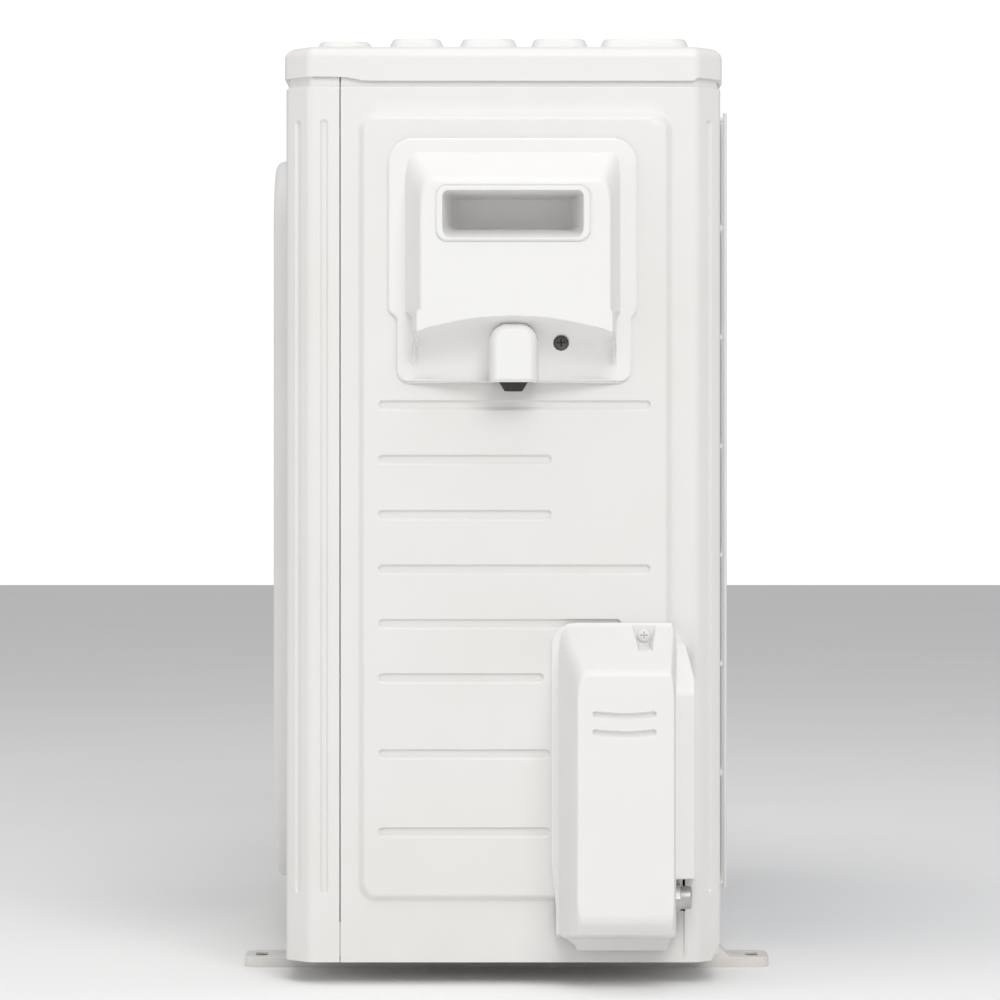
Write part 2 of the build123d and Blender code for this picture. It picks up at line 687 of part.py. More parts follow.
def make_compressor():
    """Compressor shell, its three-lobed foot, rubber feet, bolts and terminal cap."""
    cx, cy = COMPRESSOR_XY
    lobes = [(cx + 88 * math.cos(math.radians(a)), cy + 88 * math.sin(math.radians(a))) for a in (60, 180, 300)]
    with BuildPart() as compressor_shell:
        rod_z(cx, cy, (52.0, 345.0), COMPRESSOR_R)
        fillet(compressor_shell.faces().sort_by(Axis.Z)[-1].edges(), 20.0)
        rod_z(cx, cy, (64.0, 333.0), COMPRESSOR_R - 12.0, mode=Mode.SUBTRACT)
        rod_z(cx + 27.0, cy, (330.0, 346.0), 3.9, mode=Mode.SUBTRACT)
    compressor_shell.part.label = "compressor_shell"
    export_step(compressor_shell.part, "parts/compressor_shell.step")

    with BuildPart() as compressor_base:
        with BuildSketch(Plane.XY.offset(48.0)):
            with Locations(*lobes):
                Circle(16.0)
            for a in (60, 180, 300):
                with Locations(Location((cx, cy), a)):
                    with Locations((44.0, 0)):
                        Rectangle(88.0, 32.0)
            with Locations((cx, cy)):
                Circle(66.0)
            with Locations(*lobes):
                Circle(5.5, mode=Mode.SUBTRACT)
        extrude(amount=4.0)
    compressor_base.part.label = "compressor_base"
    export_step(compressor_base.part, "parts/compressor_base.step")

    with BuildPart() as compressor_grommets:
        for x, y in lobes:
            rod_z(x, y, (PAN_FLOOR, 48.0), 14.0)
            rod_z(x, y, (PAN_FLOOR, 48.0), 5.2, mode=Mode.SUBTRACT)
    compressor_grommets.part.label = "compressor_grommets"
    export_step(compressor_grommets.part, "parts/compressor_grommets.step")

    with BuildPart() as compressor_bolts:
        for x, y in lobes:
            rod_z(x, y, (PAN_FLOOR, 64.0), 5.0)
            rod_z(x, y, (52.0, 53.6), 12.0)
            hexagon(Plane(origin=(x, y, 53.6), z_dir=(0, 0, 1)), 7.0, 15.0)
    compressor_bolts.part.label = "compressor_bolts"
    export_step(compressor_bolts.part, "parts/compressor_bolts.step")

    with BuildPart() as compressor_terminal_cover:
        rod_z(cx - 13.0, cy, (345.0, 366.0), 24.0)
        fillet(compressor_terminal_cover.faces().sort_by(Axis.Z)[-1].edges(), 5.0)
        rod_z(cx - 13.0, cy, (344.0, 363.0), 21.5, mode=Mode.SUBTRACT)
        rod_z(cx - 13.0, cy, (345.0, 372.0), 3.5)
    compressor_terminal_cover.part.label = "compressor_terminal_cover"
    export_step(compressor_terminal_cover.part, "parts/compressor_terminal_cover.step")


def make_accumulator():
    """Suction accumulator beside the compressor with its outlet tube and saddle."""
    cx, cy = COMPRESSOR_XY
    away = Vector(228.0 - cx, 60.0 - cy, 0).normalized()
    with BuildPart() as accumulator:
        rod_z(228.0, 60.0, (150.0, 330.0), 33.0)
        fillet(accumulator.edges().filter_by(GeomType.CIRCLE), 12.0)
        rod_z(228.0, 60.0, (154.0, 326.0), 29.0, mode=Mode.SUBTRACT)
        rod_z(228.0, 60.0, (320.0, 332.0), 5.5, mode=Mode.SUBTRACT)
        outlet = Vector(cx, cy, 105.0) + away * 62.3
        tube(((228.0, 60.0, 152.0), (228.0, 60.0, 105.0), (outlet.X, outlet.Y, 105.0)), 14.0, 6.35, 1.5)
        with BuildSketch(Plane(origin=Vector(cx, cy, 240.0) + away * 62.3, z_dir=(away.X, away.Y, 0))):
            Rectangle(16.0, 16.0)
        extrude(amount=14.0)
    accumulator.part.label = "accumulator"
    export_step(accumulator.part, "parts/accumulator.step")


def make_reversing_valve():
    """Four-way valve with one upper and three lower stubs and its solenoid."""
    with BuildPart() as reversing_valve:
        rod_y(228.0, (-40.0, 70.0), 430.0, 12.0)
        rod_z(228.0, 15.0, (430.0, 446.0), 6.35)
        for y in (-15.0, 15.0, 45.0):
            rod_z(228.0, y, (414.0, 430.0), 6.35)
        block((216.0, 240.0), (-66.0, -38.0), (417.0, 443.0))
        fillet(reversing_valve.faces().sort_by(Axis.Y)[0].edges(), 3.0)
    reversing_valve.part.label = "reversing_valve"
    export_step(reversing_valve.part, "parts/reversing_valve.step")


def make_pipes():
    """Copper runs between the compressor, the four-way valve, the coil and the service valves."""
    with BuildPart() as discharge_pipe:
        tube(((228, 15, 446), (228, 15, 490), (352, 15, 490), (352, 15, 345)), 18.0, 4.76, 0.8)
    discharge_pipe.part.label = "discharge_pipe"
    export_step(discharge_pipe.part, "parts/discharge_pipe.step")

    with BuildPart() as suction_pipe:
        tube(((228, 15, 414), (228, 15, 372), (228, 60, 372), (228, 60, 330)), 16.0, 6.35, 0.8)
    suction_pipe.part.label = "suction_pipe"
    export_step(suction_pipe.part, "parts/suction_pipe.step")

    gas_route = (
        (228, -15, 414),
        (228, -15, 385),
        (228, -75, 385),
        (402, -75, 385),
        (402, -75, GAS_Z),
        (402, VALVE_Y, GAS_Z),
        (420, VALVE_Y, GAS_Z),
    )
    with BuildPart() as gas_pipe:
        tube(gas_route, 14.0, 4.76, 0.8)
    gas_pipe.part.label = "gas_pipe"
    export_step(gas_pipe.part, "parts/gas_pipe.step")

    coil_route = (
        (228, 45, 414),
        (228, 45, 398),
        (228, 114, 398),
        (228, 114, 525),
        (228, 135, 525),
        (199.2, 135, 525),
    )
    with BuildPart() as coil_pipe:
        tube(coil_route, 10.0, 4.76, 0.8)
    coil_pipe.part.label = "coil_pipe"
    export_step(coil_pipe.part, "parts/coil_pipe.step")

    with BuildPart() as liquid_pipe:
        tube(((420, VALVE_Y, LIQUID_Z), (402, VALVE_Y, LIQUID_Z), (402, VALVE_Y, 230)), 12.0, 3.18, 0.8)
    liquid_pipe.part.label = "liquid_pipe"
    export_step(liquid_pipe.part, "parts/liquid_pipe.step")

    capillary_route = (
        (402, VALVE_Y, 310),
        (402, VALVE_Y, 375),
        (402, 118, 375),
        (230, 118, 375),
        (230, 135, 375),
        (199.2, 135, 375),
    )
    with BuildPart() as capillary_tube:
        tube(capillary_route, 8.0, 2.0, 0.7)
    capillary_tube.part.label = "capillary_tube"
    export_step(capillary_tube.part, "parts/capillary_tube.step")

    with BuildPart() as filter_drier:
        rod_z(402.0, VALVE_Y, (230.0, 310.0), 4.0)
        rod_z(402.0, VALVE_Y, (236.0, 304.0), 10.0)
        fillet(filter_drier.edges().filter_by(GeomType.CIRCLE).filter_by(lambda e: e.radius > 8), 4.0)
    filter_drier.part.label = "filter_drier"
    export_step(filter_drier.part, "parts/filter_drier.step")


def make_valve_plate():
    """Upright bracket on the base that holds both service valves."""
    with BuildPart() as valve_plate:
        block((424.0, 426.0), (42.0, 124.0), (PAN_FLOOR, 190.0))
        block((406.0, 426.0), (42.0, 78.0), (PAN_FLOOR, PAN_FLOOR + 2.0))
        block((406.0, 426.0), (104.0, 124.0), (PAN_FLOOR, PAN_FLOOR + 2.0))
        rod_x((420, 430), VALVE_Y, GAS_Z, 7.2, mode=Mode.SUBTRACT)
        rod_x((420, 430), VALVE_Y, LIQUID_Z, 5.2, mode=Mode.SUBTRACT)
        for z in (GAS_Z, LIQUID_Z):
            for dy in (-17.0, 17.0):
                rod_x((420, 430), VALVE_Y + dy, z, 2.1, mode=Mode.SUBTRACT)
    valve_plate.part.label = "valve_plate"
    export_step(valve_plate.part, "parts/valve_plate.step")


def make_gas_valve():
    """Gas service valve: body, stem, cap, flare nut and charging-port cap."""
    y = VALVE_Y
    z = GAS_Z
    with BuildPart() as gas_valve_body:
        rod_x((426.0, 462.0), y, z, 11.0)
        rod_x((462.0, 470.0), y, z, 9.0)
        rod_x((420.0, 427.0), y, z, 7.0)
        block((426.0, 429.0), (y - 22, y + 22), (z - 8, z + 8))
        rod_y(448.0, (y, 122.0), z, 7.5)
        rod_y(448.0, (66.0, y), z, 5.0)
        rod_x((440.0, 471.0), y, z, 5.05, mode=Mode.SUBTRACT)
        rod_y(448.0, (100.0, 123.0), z, 4.0, mode=Mode.SUBTRACT)
        for dy in (-17.0, 17.0):
            rod_x((425, 430), y + dy, z, 2.1, mode=Mode.SUBTRACT)
    gas_valve_body.part.label = "gas_valve_body"
    export_step(gas_valve_body.part, "parts/gas_valve_body.step")

    with BuildPart() as gas_valve_stem:
        rod_x((441.0, 466.0), y, z, 5.0)
        with BuildSketch(side_plane(460.0, y, z)):
            RegularPolygon(2.5, 6, major_radius=False)
        extrude(amount=7.0, mode=Mode.SUBTRACT)
    gas_valve_stem.part.label = "gas_valve_stem"
    export_step(gas_valve_stem.part, "parts/gas_valve_stem.step")

    with BuildPart() as gas_valve_cap:
        hexagon(side_plane(462.0, y, z), 14.0, 22.0)
        rod_x((470.0, 484.0), y, z, 9.5)
        fillet(gas_valve_cap.faces().sort_by(Axis.X)[-1].edges(), 2.0)
        rod_x((461.0, 473.0), y, z, 9.05, mode=Mode.SUBTRACT)
    gas_valve_cap.part.label = "gas_valve_cap"
    export_step(gas_valve_cap.part, "parts/gas_valve_cap.step")

    with BuildPart() as gas_flare_nut:
        hexagon(Plane(origin=(448.0, 107.0, z), x_dir=(1, 0, 0), z_dir=(0, 1, 0)), 14.0, 19.0)
        rod_y(448.0, (120.0, 129.0), z, 8.0)
        fillet(gas_flare_nut.faces().sort_by(Axis.Y)[-1].edges(), 1.5)
        rod_y(448.0, (106.0, 122.0), z, 7.55, mode=Mode.SUBTRACT)
        rod_y(448.0, (121.0, 130.0), z, 4.8, mode=Mode.SUBTRACT)
    gas_flare_nut.part.label = "gas_flare_nut"
    export_step(gas_flare_nut.part, "parts/gas_flare_nut.step")

    with BuildPart() as charge_port_cap:
        rod_y(448.0, (60.0, 76.0), z, 7.0)
        fillet(charge_port_cap.faces().sort_by(Axis.Y)[0].edges(), 2.0)
        rod_y(448.0, (66.0, 77.0), z, 5.05, mode=Mode.SUBTRACT)
    charge_port_cap.part.label = "charge_port_cap"
    export_step(charge_port_cap.part, "parts/charge_port_cap.step")


def make_liquid_valve():
    """Liquid service valve: body, stem, cap and flare nut."""
    y = VALVE_Y
    z = LIQUID_Z
    with BuildPart() as liquid_valve_body:
        rod_x((426.0, 460.0), y, z, 9.0)
        rod_x((460.0, 467.0), y, z, 8.0)
        rod_x((420.0, 427.0), y, z, 5.0)
        block((426.0, 429.0), (y - 22, y + 22), (z - 8, z + 8))
        rod_y(446.0, (y, 116.0), z, 5.5)
        rod_x((440.0, 468.0), y, z, 4.05, mode=Mode.SUBTRACT)
        rod_y(446.0, (99.0, 117.0), z, 2.6, mode=Mode.SUBTRACT)
        for dy in (-17.0, 17.0):
            rod_x((425, 430), y + dy, z, 2.1, mode=Mode.SUBTRACT)
    liquid_valve_body.part.label = "liquid_valve_body"
    export_step(liquid_valve_body.part, "parts/liquid_valve_body.step")

    with BuildPart() as liquid_valve_stem:
        rod_x((441.0, 463.0), y, z, 4.0)
        with BuildSketch(side_plane(458.0, y, z)):
            RegularPolygon(2.0, 6, major_radius=False)
        extrude(amount=6.0, mode=Mode.SUBTRACT)
    liquid_valve_stem.part.label = "liquid_valve_stem"
    export_step(liquid_valve_stem.part, "parts/liquid_valve_stem.step")

    with BuildPart() as liquid_valve_cap:
        hexagon(side_plane(460.0, y, z), 12.0, 19.0)
        rod_x((468.0, 480.0), y, z, 8.0)
        fillet(liquid_valve_cap.faces().sort_by(Axis.X)[-1].edges(), 2.0)
        rod_x((459.0, 470.0), y, z, 8.05, mode=Mode.SUBTRACT)
    liquid_valve_cap.part.label = "liquid_valve_cap"
    export_step(liquid_valve_cap.part, "parts/liquid_valve_cap.step")

    with BuildPart() as liquid_flare_nut:
        hexagon(Plane(origin=(446.0, 103.0, z), x_dir=(1, 0, 0), z_dir=(0, 1, 0)), 12.0, 17.0)
        rod_y(446.0, (113.0, 122.0), z, 6.5)
        fillet(liquid_flare_nut.faces().sort_by(Axis.Y)[-1].edges(), 1.2)
        rod_y(446.0, (102.0, 116.0), z, 5.55, mode=Mode.SUBTRACT)
        rod_y(446.0, (115.0, 123.0), z, 3.25, mode=Mode.SUBTRACT)
    liquid_flare_nut.part.label = "liquid_flare_nut"
    export_step(liquid_flare_nut.part, "parts/liquid_flare_nut.step")

    with BuildPart() as valve_screws:
        for level in (GAS_Z, LIQUID_Z):
            for dy in (-17.0, 17.0):
                rod_x((421.0, 429.0), y + dy, level, 2.0)
                rod_x((429.0, 432.0), y + dy, level, 4.0)
    valve_screws.part.label = "valve_screws"
    export_step(valve_screws.part, "parts/valve_screws.step")


def make_electrical_box():
    """Open-topped box above the partition with a drop plate for the terminals."""
    with BuildPart() as electrical_box:
        block((150.0, 408.0), (-140.0, 100.0), (520.0, 625.0))
        block((152.0, 406.0), (-138.0, 98.0), (522.0, 626.0), mode=Mode.SUBTRACT)
        block((406.0, 408.0), (-60.0, 70.0), (455.0, 522.0))
        block((330.0, 408.0), (-155.5, -153.5), (560.0, 600.0))
        block((366.0, 368.0), (-155.5, -139.0), (560.0, 600.0))
        for x in (175.0, 375.0):
            for y in (-120.0, 0.0):
                rod_z(x, y, (521.0, 536.0), 4.0)
    electrical_box.part.label = "electrical_box"
    export_step(electrical_box.part, "parts/electrical_box.step")


def make_control_board():
    """Circuit board with its larger components."""
    with BuildPart() as control_board:
        block((162.0, 388.0), (-130.0, 10.0), (536.0, 537.6))
        block((180.0, 220.0), (-110.0, -70.0), (537.6, 562.0))
        block((250.0, 330.0), (-120.0, -95.0), (537.6, 570.0))
        block((240.0, 262.0), (-60.0, -30.0), (537.6, 553.0))
        block((290.0, 312.0), (-60.0, -30.0), (537.6, 553.0))
        block((345.0, 378.0), (-100.0, -20.0), (537.6, 548.0))
        for x in (200.0, 222.0):
            rod_z(x, -30.0, (537.6, 565.0), 9.0)
    control_board.part.label = "control_board"
    export_step(control_board.part, "parts/control_board.step")


def make_run_capacitor():
    """Run capacitor lying on the floor of the electrical box."""
    with BuildPart() as run_capacitor:
        rod_x((200.0, 285.0), 60.0, 542.0, 20.0)
        fillet(run_capacitor.edges().filter_by(GeomType.CIRCLE), 2.5)
        block((285.0, 296.0), (52.0, 54.0), (538.0, 546.0))
        block((285.0, 296.0), (66.0, 68.0), (538.0, 546.0))
    run_capacitor.part.label = "run_capacitor"
    export_step(run_capacitor.part, "parts/run_capacitor.step")


def make_terminal_block():
    """Five-way terminal block behind the wiring cover."""
    with BuildPart() as terminal_block:
        block((408.0, 418.0), (-34.0, 46.0), (474.0, 514.0))
        for wall in range(6):
            y = -34.0 + 15.6 * wall
            block((417.0, 425.0), (y, y + 2.0), (474.0, 514.0))
        block((417.0, 423.0), (-34.0, 46.0), (490.0, 496.0))
        for way in range(5):
            y = -25.2 + 15.6 * way
            for z in (482.0, 505.0):
                rod_x((418.0, 421.0), y, z, 4.0)
    terminal_block.part.label = "terminal_block"
    export_step(terminal_block.part, "parts/terminal_block.step")


def make_cable_clamp():
    """Saddle that grips the supply cable under the terminals."""
    with BuildPart() as cable_clamp:
        block((408.0, 411.0), (-18.0, 27.0), (457.0, 467.0))
        rod_z(409.5, 4.5, (457.0, 467.0), 9.0)
        rod_z(409.5, 4.5, (456.0, 468.0), 6.0, mode=Mode.SUBTRACT)
        block((395.0, 408.0), (-30.0, 40.0), (450.0, 470.0), mode=Mode.SUBTRACT)
        for y in (-13.0, 22.0):
            rod_x((411.0, 413.5), y, 462.0, 3.2)
    cable_clamp.part.label = "cable_clamp"
    export_step(cable_clamp.part, "parts/cable_clamp.step")


def cover_shell(back_x, face_x, back, face, back_radius, face_radius, mode):
    """Solid between two rounded rectangles given as (y span, z span)."""
    low = rounded_side(back_x, back[0], back[1], back_radius)
    high = rounded_side(face_x, face[0], face[1], face_radius)
    loft(sections=[low, high], mode=mode)


def make_wiring_cover():
    """Moulded cover over the terminals with a hand-hold above and a cable hood below."""
    with BuildPart() as wiring_cover:
        cover_shell(
            434.2,
            WIRING_FACE_X,
            ((-71.6, 79.7), (436.2, 585.9)),
            ((-60.5, 72.1), (462.5, 564.5)),
            16.0,
            10.0,
            Mode.ADD,
        )
        extrude(rounded_side(434.2, (-83.4, 91.3), (465.0, 596.0), 17.5), amount=2.5)
        extrude(rounded_side(434.2, (-77.3, 87.3), (424.7, 500.0), 8.0), amount=2.5)
        cover_shell(
            434.0,
            WIRING_FACE_X - 2.5,
            ((-68.9, 77.0), (438.9, 583.2)),
            ((-57.9, 69.5), (464.5, 561.8)),
            13.5,
            8.0,
            Mode.SUBTRACT,
        )
        hood_outline(434.2, 466.0, (-11.6, 20.7), 464.2, 12.0, Mode.ADD)
        cover_shell(
            422.5,
            WIRING_FACE_X,
            ((-40.5, 48.8), (524.5, 552.5)),
            ((-47.6, 55.9), (520.0, 559.0)),
            5.0,
            7.0,
            Mode.ADD,
        )
        extrude(rounded_side(WIRING_FACE_X, (-49.6, 58.0), (521.0, 559.8), 8.0), amount=2.0)
        rod_x((434.2, 446.0), *WIRING_SCREW, 7.8)
        cover_shell(
            425.0,
            WIRING_FACE_X + 2.5,
            ((-38.0, 46.3), (527.0, 550.0)),
            ((-45.4, 53.7), (522.4, 556.7)),
            4.0,
            5.0,
            Mode.SUBTRACT,
        )
        rod_x((437.2, 475.0), *WIRING_SCREW, 5.3, mode=Mode.SUBTRACT)
        rod_x((430.0, 475.0), *WIRING_SCREW, 2.2, mode=Mode.SUBTRACT)
        rod_z(450.0, 4.5, (420.0, 452.0), 12.0, mode=Mode.SUBTRACT)
        rod_z(450.0, 4.5, (450.0, 462.0), 6.0, mode=Mode.SUBTRACT)
        block((430.0, 450.0), (-1.5, 10.5), (440.0, 462.0), mode=Mode.SUBTRACT)
    wiring_cover.part.label = "wiring_cover"
    export_step(wiring_cover.part, "parts/wiring_cover.step")


def hood_outline(back_x, face_x, y, top, radius, mode):
    """Upright hood with rounded shoulders, open downwards."""
    with BuildSketch(side_plane(back_x, (y[0] + y[1]) / 2, top - 20.0)) as outline:
        RectangleRounded(y[1] - y[0], 40.0, radius)
        with Locations((0, -10.35)):
            Rectangle(y[1] - y[0], 20.7)
    extrude(outline.sketch, amount=face_x - back_x, mode=mode)


def make_wiring_cover_screw():
    """Screw of the wiring cover, sunk in its well."""
    with BuildPart() as wiring_cover_screw:
        y, z = WIRING_SCREW
        rod_x((437.2, 440.0), y, z, 4.8)
        rod_x((433.0, 437.2), y, z, 2.1)
        block((439.0, 441.0), (y - 3.2, y + 3.2), (z - 0.6, z + 0.6), mode=Mode.SUBTRACT)
        block((439.0, 441.0), (y - 0.6, y + 0.6), (z - 3.2, z + 3.2), mode=Mode.SUBTRACT)
    wiring_cover_screw.part.label = "wiring_cover_screw"
    export_step(wiring_cover_screw.part, "parts/wiring_cover_screw.step")


def make_cable_gland():
    """Rubber bush in the mouth of the hood, with a tapered tail below it."""
    with BuildPart() as cable_gland:
        rod_z(450.0, 4.5, (426.0, 450.0), 11.95)
        with Locations((450.0, 4.5, 421.75)):
            Cone(6.2, 11.4, 8.5)
        rod_z(450.0, 4.5, (416.0, 452.0), 5.2, mode=Mode.SUBTRACT)
    cable_gland.part.label = "cable_gland"
    export_step(cable_gland.part, "parts/cable_gland.step")


def make_valve_cover():
    """Deep moulded cover over the service valves with an open pipe shoulder behind."""
    with BuildPart() as valve_cover:
        cover_shell(
            434.3,
            VALVE_FACE_X,
            ((36.5, 119.6), (25.1, 253.0)),
            ((47.9, 116.2), (44.0, 223.6)),
            18.0,
            10.0,
            Mode.ADD,
        )
        extrude(rounded_side(429.3, (36.5, 119.6), (25.1, 253.0), 18.0), amount=5.0)
        block((425.0, 434.2), (30.0, 117.3), (57.3, 260.0), mode=Mode.SUBTRACT)
        extrude(rounded_side(434.2, (31.3, 119.6), (60.0, 255.2), 18.0), amount=2.3)
        block((434.2, 436.5), (31.3, 119.6), (60.0, 90.0))
        with BuildSketch(Plane(origin=(0, 117.0, 0), x_dir=(1, 0, 0), z_dir=(0, -1, 0))):
            with BuildLine():
                Polyline(
                    (429.3, 75.0),
                    (SHOULDER_FACE_X, 75.0),
                    (SHOULDER_FACE_X, 208.0),
                    (460.0, 216.0),
                    (433.0, 238.7),
                    (429.3, 238.7),
                    close=True,
                )
            make_face()
        extrude(amount=-14.0)
        cover_shell(
            434.2,
            VALVE_FACE_X - 2.5,
            ((39.1, 117.0), (27.7, 250.3)),
            ((50.4, 113.7), (46.6, 221.0)),
            15.5,
            8.0,
            Mode.SUBTRACT,
        )
        extrude(rounded_side(429.0, (39.1, 117.0), (27.7, 250.3), 15.5), amount=5.3, mode=Mode.SUBTRACT)
        with BuildSketch(Plane(origin=(0, 116.0, 0), x_dir=(1, 0, 0), z_dir=(0, -1, 0))):
            with BuildLine():
                Polyline(
                    (429.0, 74.0),
                    (SHOULDER_FACE_X - 2.5, 74.0),
                    (SHOULDER_FACE_X - 2.5, 206.5),
                    (458.0, 214.0),
                    (431.5, 236.0),
                    (429.0, 236.0),
                    close=True,
                )
            make_face()
        extrude(amount=-12.5, mode=Mode.SUBTRACT)
        block((429.0, 463.5), (114.0, 122.0), (50.5, 76.5), mode=Mode.SUBTRACT)
        with BuildSketch(Plane(origin=(0, 86.0, 0), x_dir=(1, 0, 0), z_dir=(0, -1, 0))):
            with BuildLine():
                Polyline(
                    (434.3, 236.2),
                    (434.3, 252.4),
                    (456.0, 242.8),
                    (462.0, 239.0),
                    (458.0, 236.2),
                    close=True,
                )
            make_face()
        extrude(amount=-20.4)
        with BuildSketch(side_plane(436.8, *VALVE_SCREW)):
            Circle(7.5)
            with Locations((0, 8.0)):
                Rectangle(15.0, 16.0)
        extrude(amount=35.0, mode=Mode.SUBTRACT)
        rod_x((430.0, 440.0), *VALVE_SCREW, 2.2, mode=Mode.SUBTRACT)
        for z in (194.2, 181.8):
            with BuildSketch(side_plane(VALVE_FACE_X - 1.2)):
                with BuildLine() as smile:
                    ThreePointArc((61.0, z), (80.5, z - 2.2), (100.0, z))
                SlotArc(smile.edges()[0], 5.0)
            extrude(amount=3.0, mode=Mode.SUBTRACT)
    valve_cover.part.label = "valve_cover"
    export_step(valve_cover.part, "parts/valve_cover.step")


def make_valve_cover_screw():
    """Screw in the top notch of the valve cover."""
    with BuildPart() as valve_cover_screw:
        rod_x((436.8, 439.4), *VALVE_SCREW, 4.4)
        rod_x((432.8, 436.8), *VALVE_SCREW, 2.1)
    valve_cover_screw.part.label = "valve_cover_screw"
    export_step(valve_cover_screw.part, "parts/valve_cover_screw.step")


def make_casing_screws():
    """Screws on the casing seams."""
    with BuildPart() as casing_screws:
        for z in (40.0, 622.0):
            rod_x((-431.5, -429.0), -138.0, z, 4.2)
            rod_x((-429.0, -423.0), -138.0, z, 2.0)
        for z in (70.0, 610.0):
            rod_y(220.0, (151.5, 154.0), z, 4.2)
            rod_y(220.0, (145.0, 151.5), z, 2.0)
    casing_screws.part.label = "casing_screws"
    export_step(casing_screws.part, "parts/casing_screws.step")


make_base_pan()
make_foot_rails()
make_front_panel()
make_fan_shroud()
make_fan_guard()
make_guard_screws()
make_right_side_panel()
make_left_side_panel()
make_left_handle()
make_rear_guard()
make_top_cover()
make_top_cover_screws()
make_partition_plate()
make_motor_bracket()
make_fan_motor()
make_motor_screws()
make_motor_shaft()
make_fan_blade()
make_fan_nut()
make_coil_fin_pack()
make_coil_end_plates()
make_coil_return_bends()
make_compressor()
make_accumulator()
make_reversing_valve()
make_pipes()
make_valve_plate()
make_gas_valve()
make_liquid_valve()
make_electrical_box()
make_control_board()
make_run_capacitor()
make_terminal_block()
make_cable_clamp()
make_wiring_cover()
make_wiring_cover_screw()
make_cable_gland()
make_valve_cover()
make_valve_cover_screw()
make_casing_screws()
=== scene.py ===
"""Finished surfaces of a split air conditioner's outdoor unit, laid out as an add-on.

The casing sheets, covers, guard and fins are worked out as surfaces over a grid; the
remaining pieces are the frame's own nodes or softened copies of them.  Lengths in the
formulas are millimetres; the settings that a user changes are in metres.
"""

import json
import math

import bmesh
import bpy
import numpy as np
from bpy.props import FloatProperty, FloatVectorProperty, IntProperty, PointerProperty
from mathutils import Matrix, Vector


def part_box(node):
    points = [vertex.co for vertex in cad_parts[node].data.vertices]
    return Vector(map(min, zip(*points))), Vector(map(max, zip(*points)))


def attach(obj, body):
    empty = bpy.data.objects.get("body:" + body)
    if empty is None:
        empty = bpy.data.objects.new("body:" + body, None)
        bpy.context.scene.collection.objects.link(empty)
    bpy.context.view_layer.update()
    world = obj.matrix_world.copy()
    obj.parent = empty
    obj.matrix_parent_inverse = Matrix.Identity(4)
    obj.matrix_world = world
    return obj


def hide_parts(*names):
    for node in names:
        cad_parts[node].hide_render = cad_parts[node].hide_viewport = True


bl_info = {
    "name": "Outdoor Unit Surfaces",
    "version": (1, 0, 0),
    "blender": (4, 5, 0),
    "location": "View3D > Sidebar > Outdoor Unit",
    "description": "Builds the visible surfaces of an air conditioner's outdoor unit",
    "category": "Object",
}

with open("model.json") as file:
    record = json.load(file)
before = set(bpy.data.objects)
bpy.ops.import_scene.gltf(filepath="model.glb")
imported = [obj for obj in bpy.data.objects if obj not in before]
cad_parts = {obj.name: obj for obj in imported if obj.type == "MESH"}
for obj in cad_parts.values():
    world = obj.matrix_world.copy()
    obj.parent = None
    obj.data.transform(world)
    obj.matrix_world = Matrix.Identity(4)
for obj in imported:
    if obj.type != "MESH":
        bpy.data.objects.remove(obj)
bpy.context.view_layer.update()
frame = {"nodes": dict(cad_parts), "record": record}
MM = 0.001


def span(node, axis):
    """Low and high of a frame node along an axis, in millimetres."""
    low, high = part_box(node)
    return low[axis] / MM, high[axis] / MM


# Places read from the frame, in millimetres
SIDE_X = span("front_panel", 0)[1]
FRONT_Y = span("front_panel", 1)[0]
SEAM_FRONT_Y = span("front_panel", 1)[1]
SEAM_BACK_Y, BACK_Y = span("right_side_panel", 1)
SHEET_LOW, SHEET_HIGH = span("right_side_panel", 2)
PLATEAU_X = span("right_side_panel", 0)[1]
LID_X = span("top_cover", 0)[1]
LID_FRONT, LID_BACK = span("top_cover", 1)
LID_LOW, RIB_TOP = span("top_cover", 2)
FAN_X = sum(span("motor_shaft", 0)) / 2
FAN_Z = sum(span("motor_shaft", 2)) / 2
GUARD_FACE, GUARD_BACK = span("fan_guard", 1)
GUARD_Z = sum(span("fan_guard", 2)) / 2
VALVE_FACE = span("valve_cover", 0)[1]

# Casing
CORNER = 17.4
CORNER_ROUND = 8.0
SHEET_WALL = 1.0
JOGGLE_Z = 634.0
JOGGLE = 2.2
PLATEAU_Y = (-105.6, 117.0)
PLATEAU_Z = (58.1, 615.3)
PLATEAU_RADIUS = 14.0
PLATEAU_RUN = 6.0
GROOVE_START = -90.8
GROOVES = (
    (408.0, 101.4),
    (369.7, 31.7),
    (330.9, 31.7),
    (292.5, 101.4),
    (254.2, 80.6),
    (216.1, 26.4),
    (162.6, 30.8),
    (107.7, 30.8),
)
GROOVE_HALF = 3.8
BEAD_HALF = 3.0
BEAD_Z = (63.5, 610.0)
RETURN_BEAD_Y = -128.9
FOLD_Y = 125.5
FOLD_Z = 36.7
FOLD_HALF = 15.0
LAP = 4.0
LAP_INSET = 3.4
WIRING_WINDOW = ((-55.0, 68.0), (462.0, 572.0))
VALVE_WINDOW = ((48.0, 117.0), (40.0, 215.0))
VALVE_SLOT = ((116.0, FOLD_Y), (52.0, 76.0))
FAN_HOLE_R = 250.0

# Lid
LID_CORNER = 18.0
LID_BEVEL = 7.4
LID_PLATE_Z = 661.5
RIB_SPANS = ((-135.4, -94.3), (-84.4, -43.6), (-34.7, 8.6), (15.8, 58.7), (65.0, 130.0))
RIB_SHARES = (0.7, 1.0, 1.0, 1.0, 1.0)
RIB_END = 421.0
LIP_GAP = 0.5

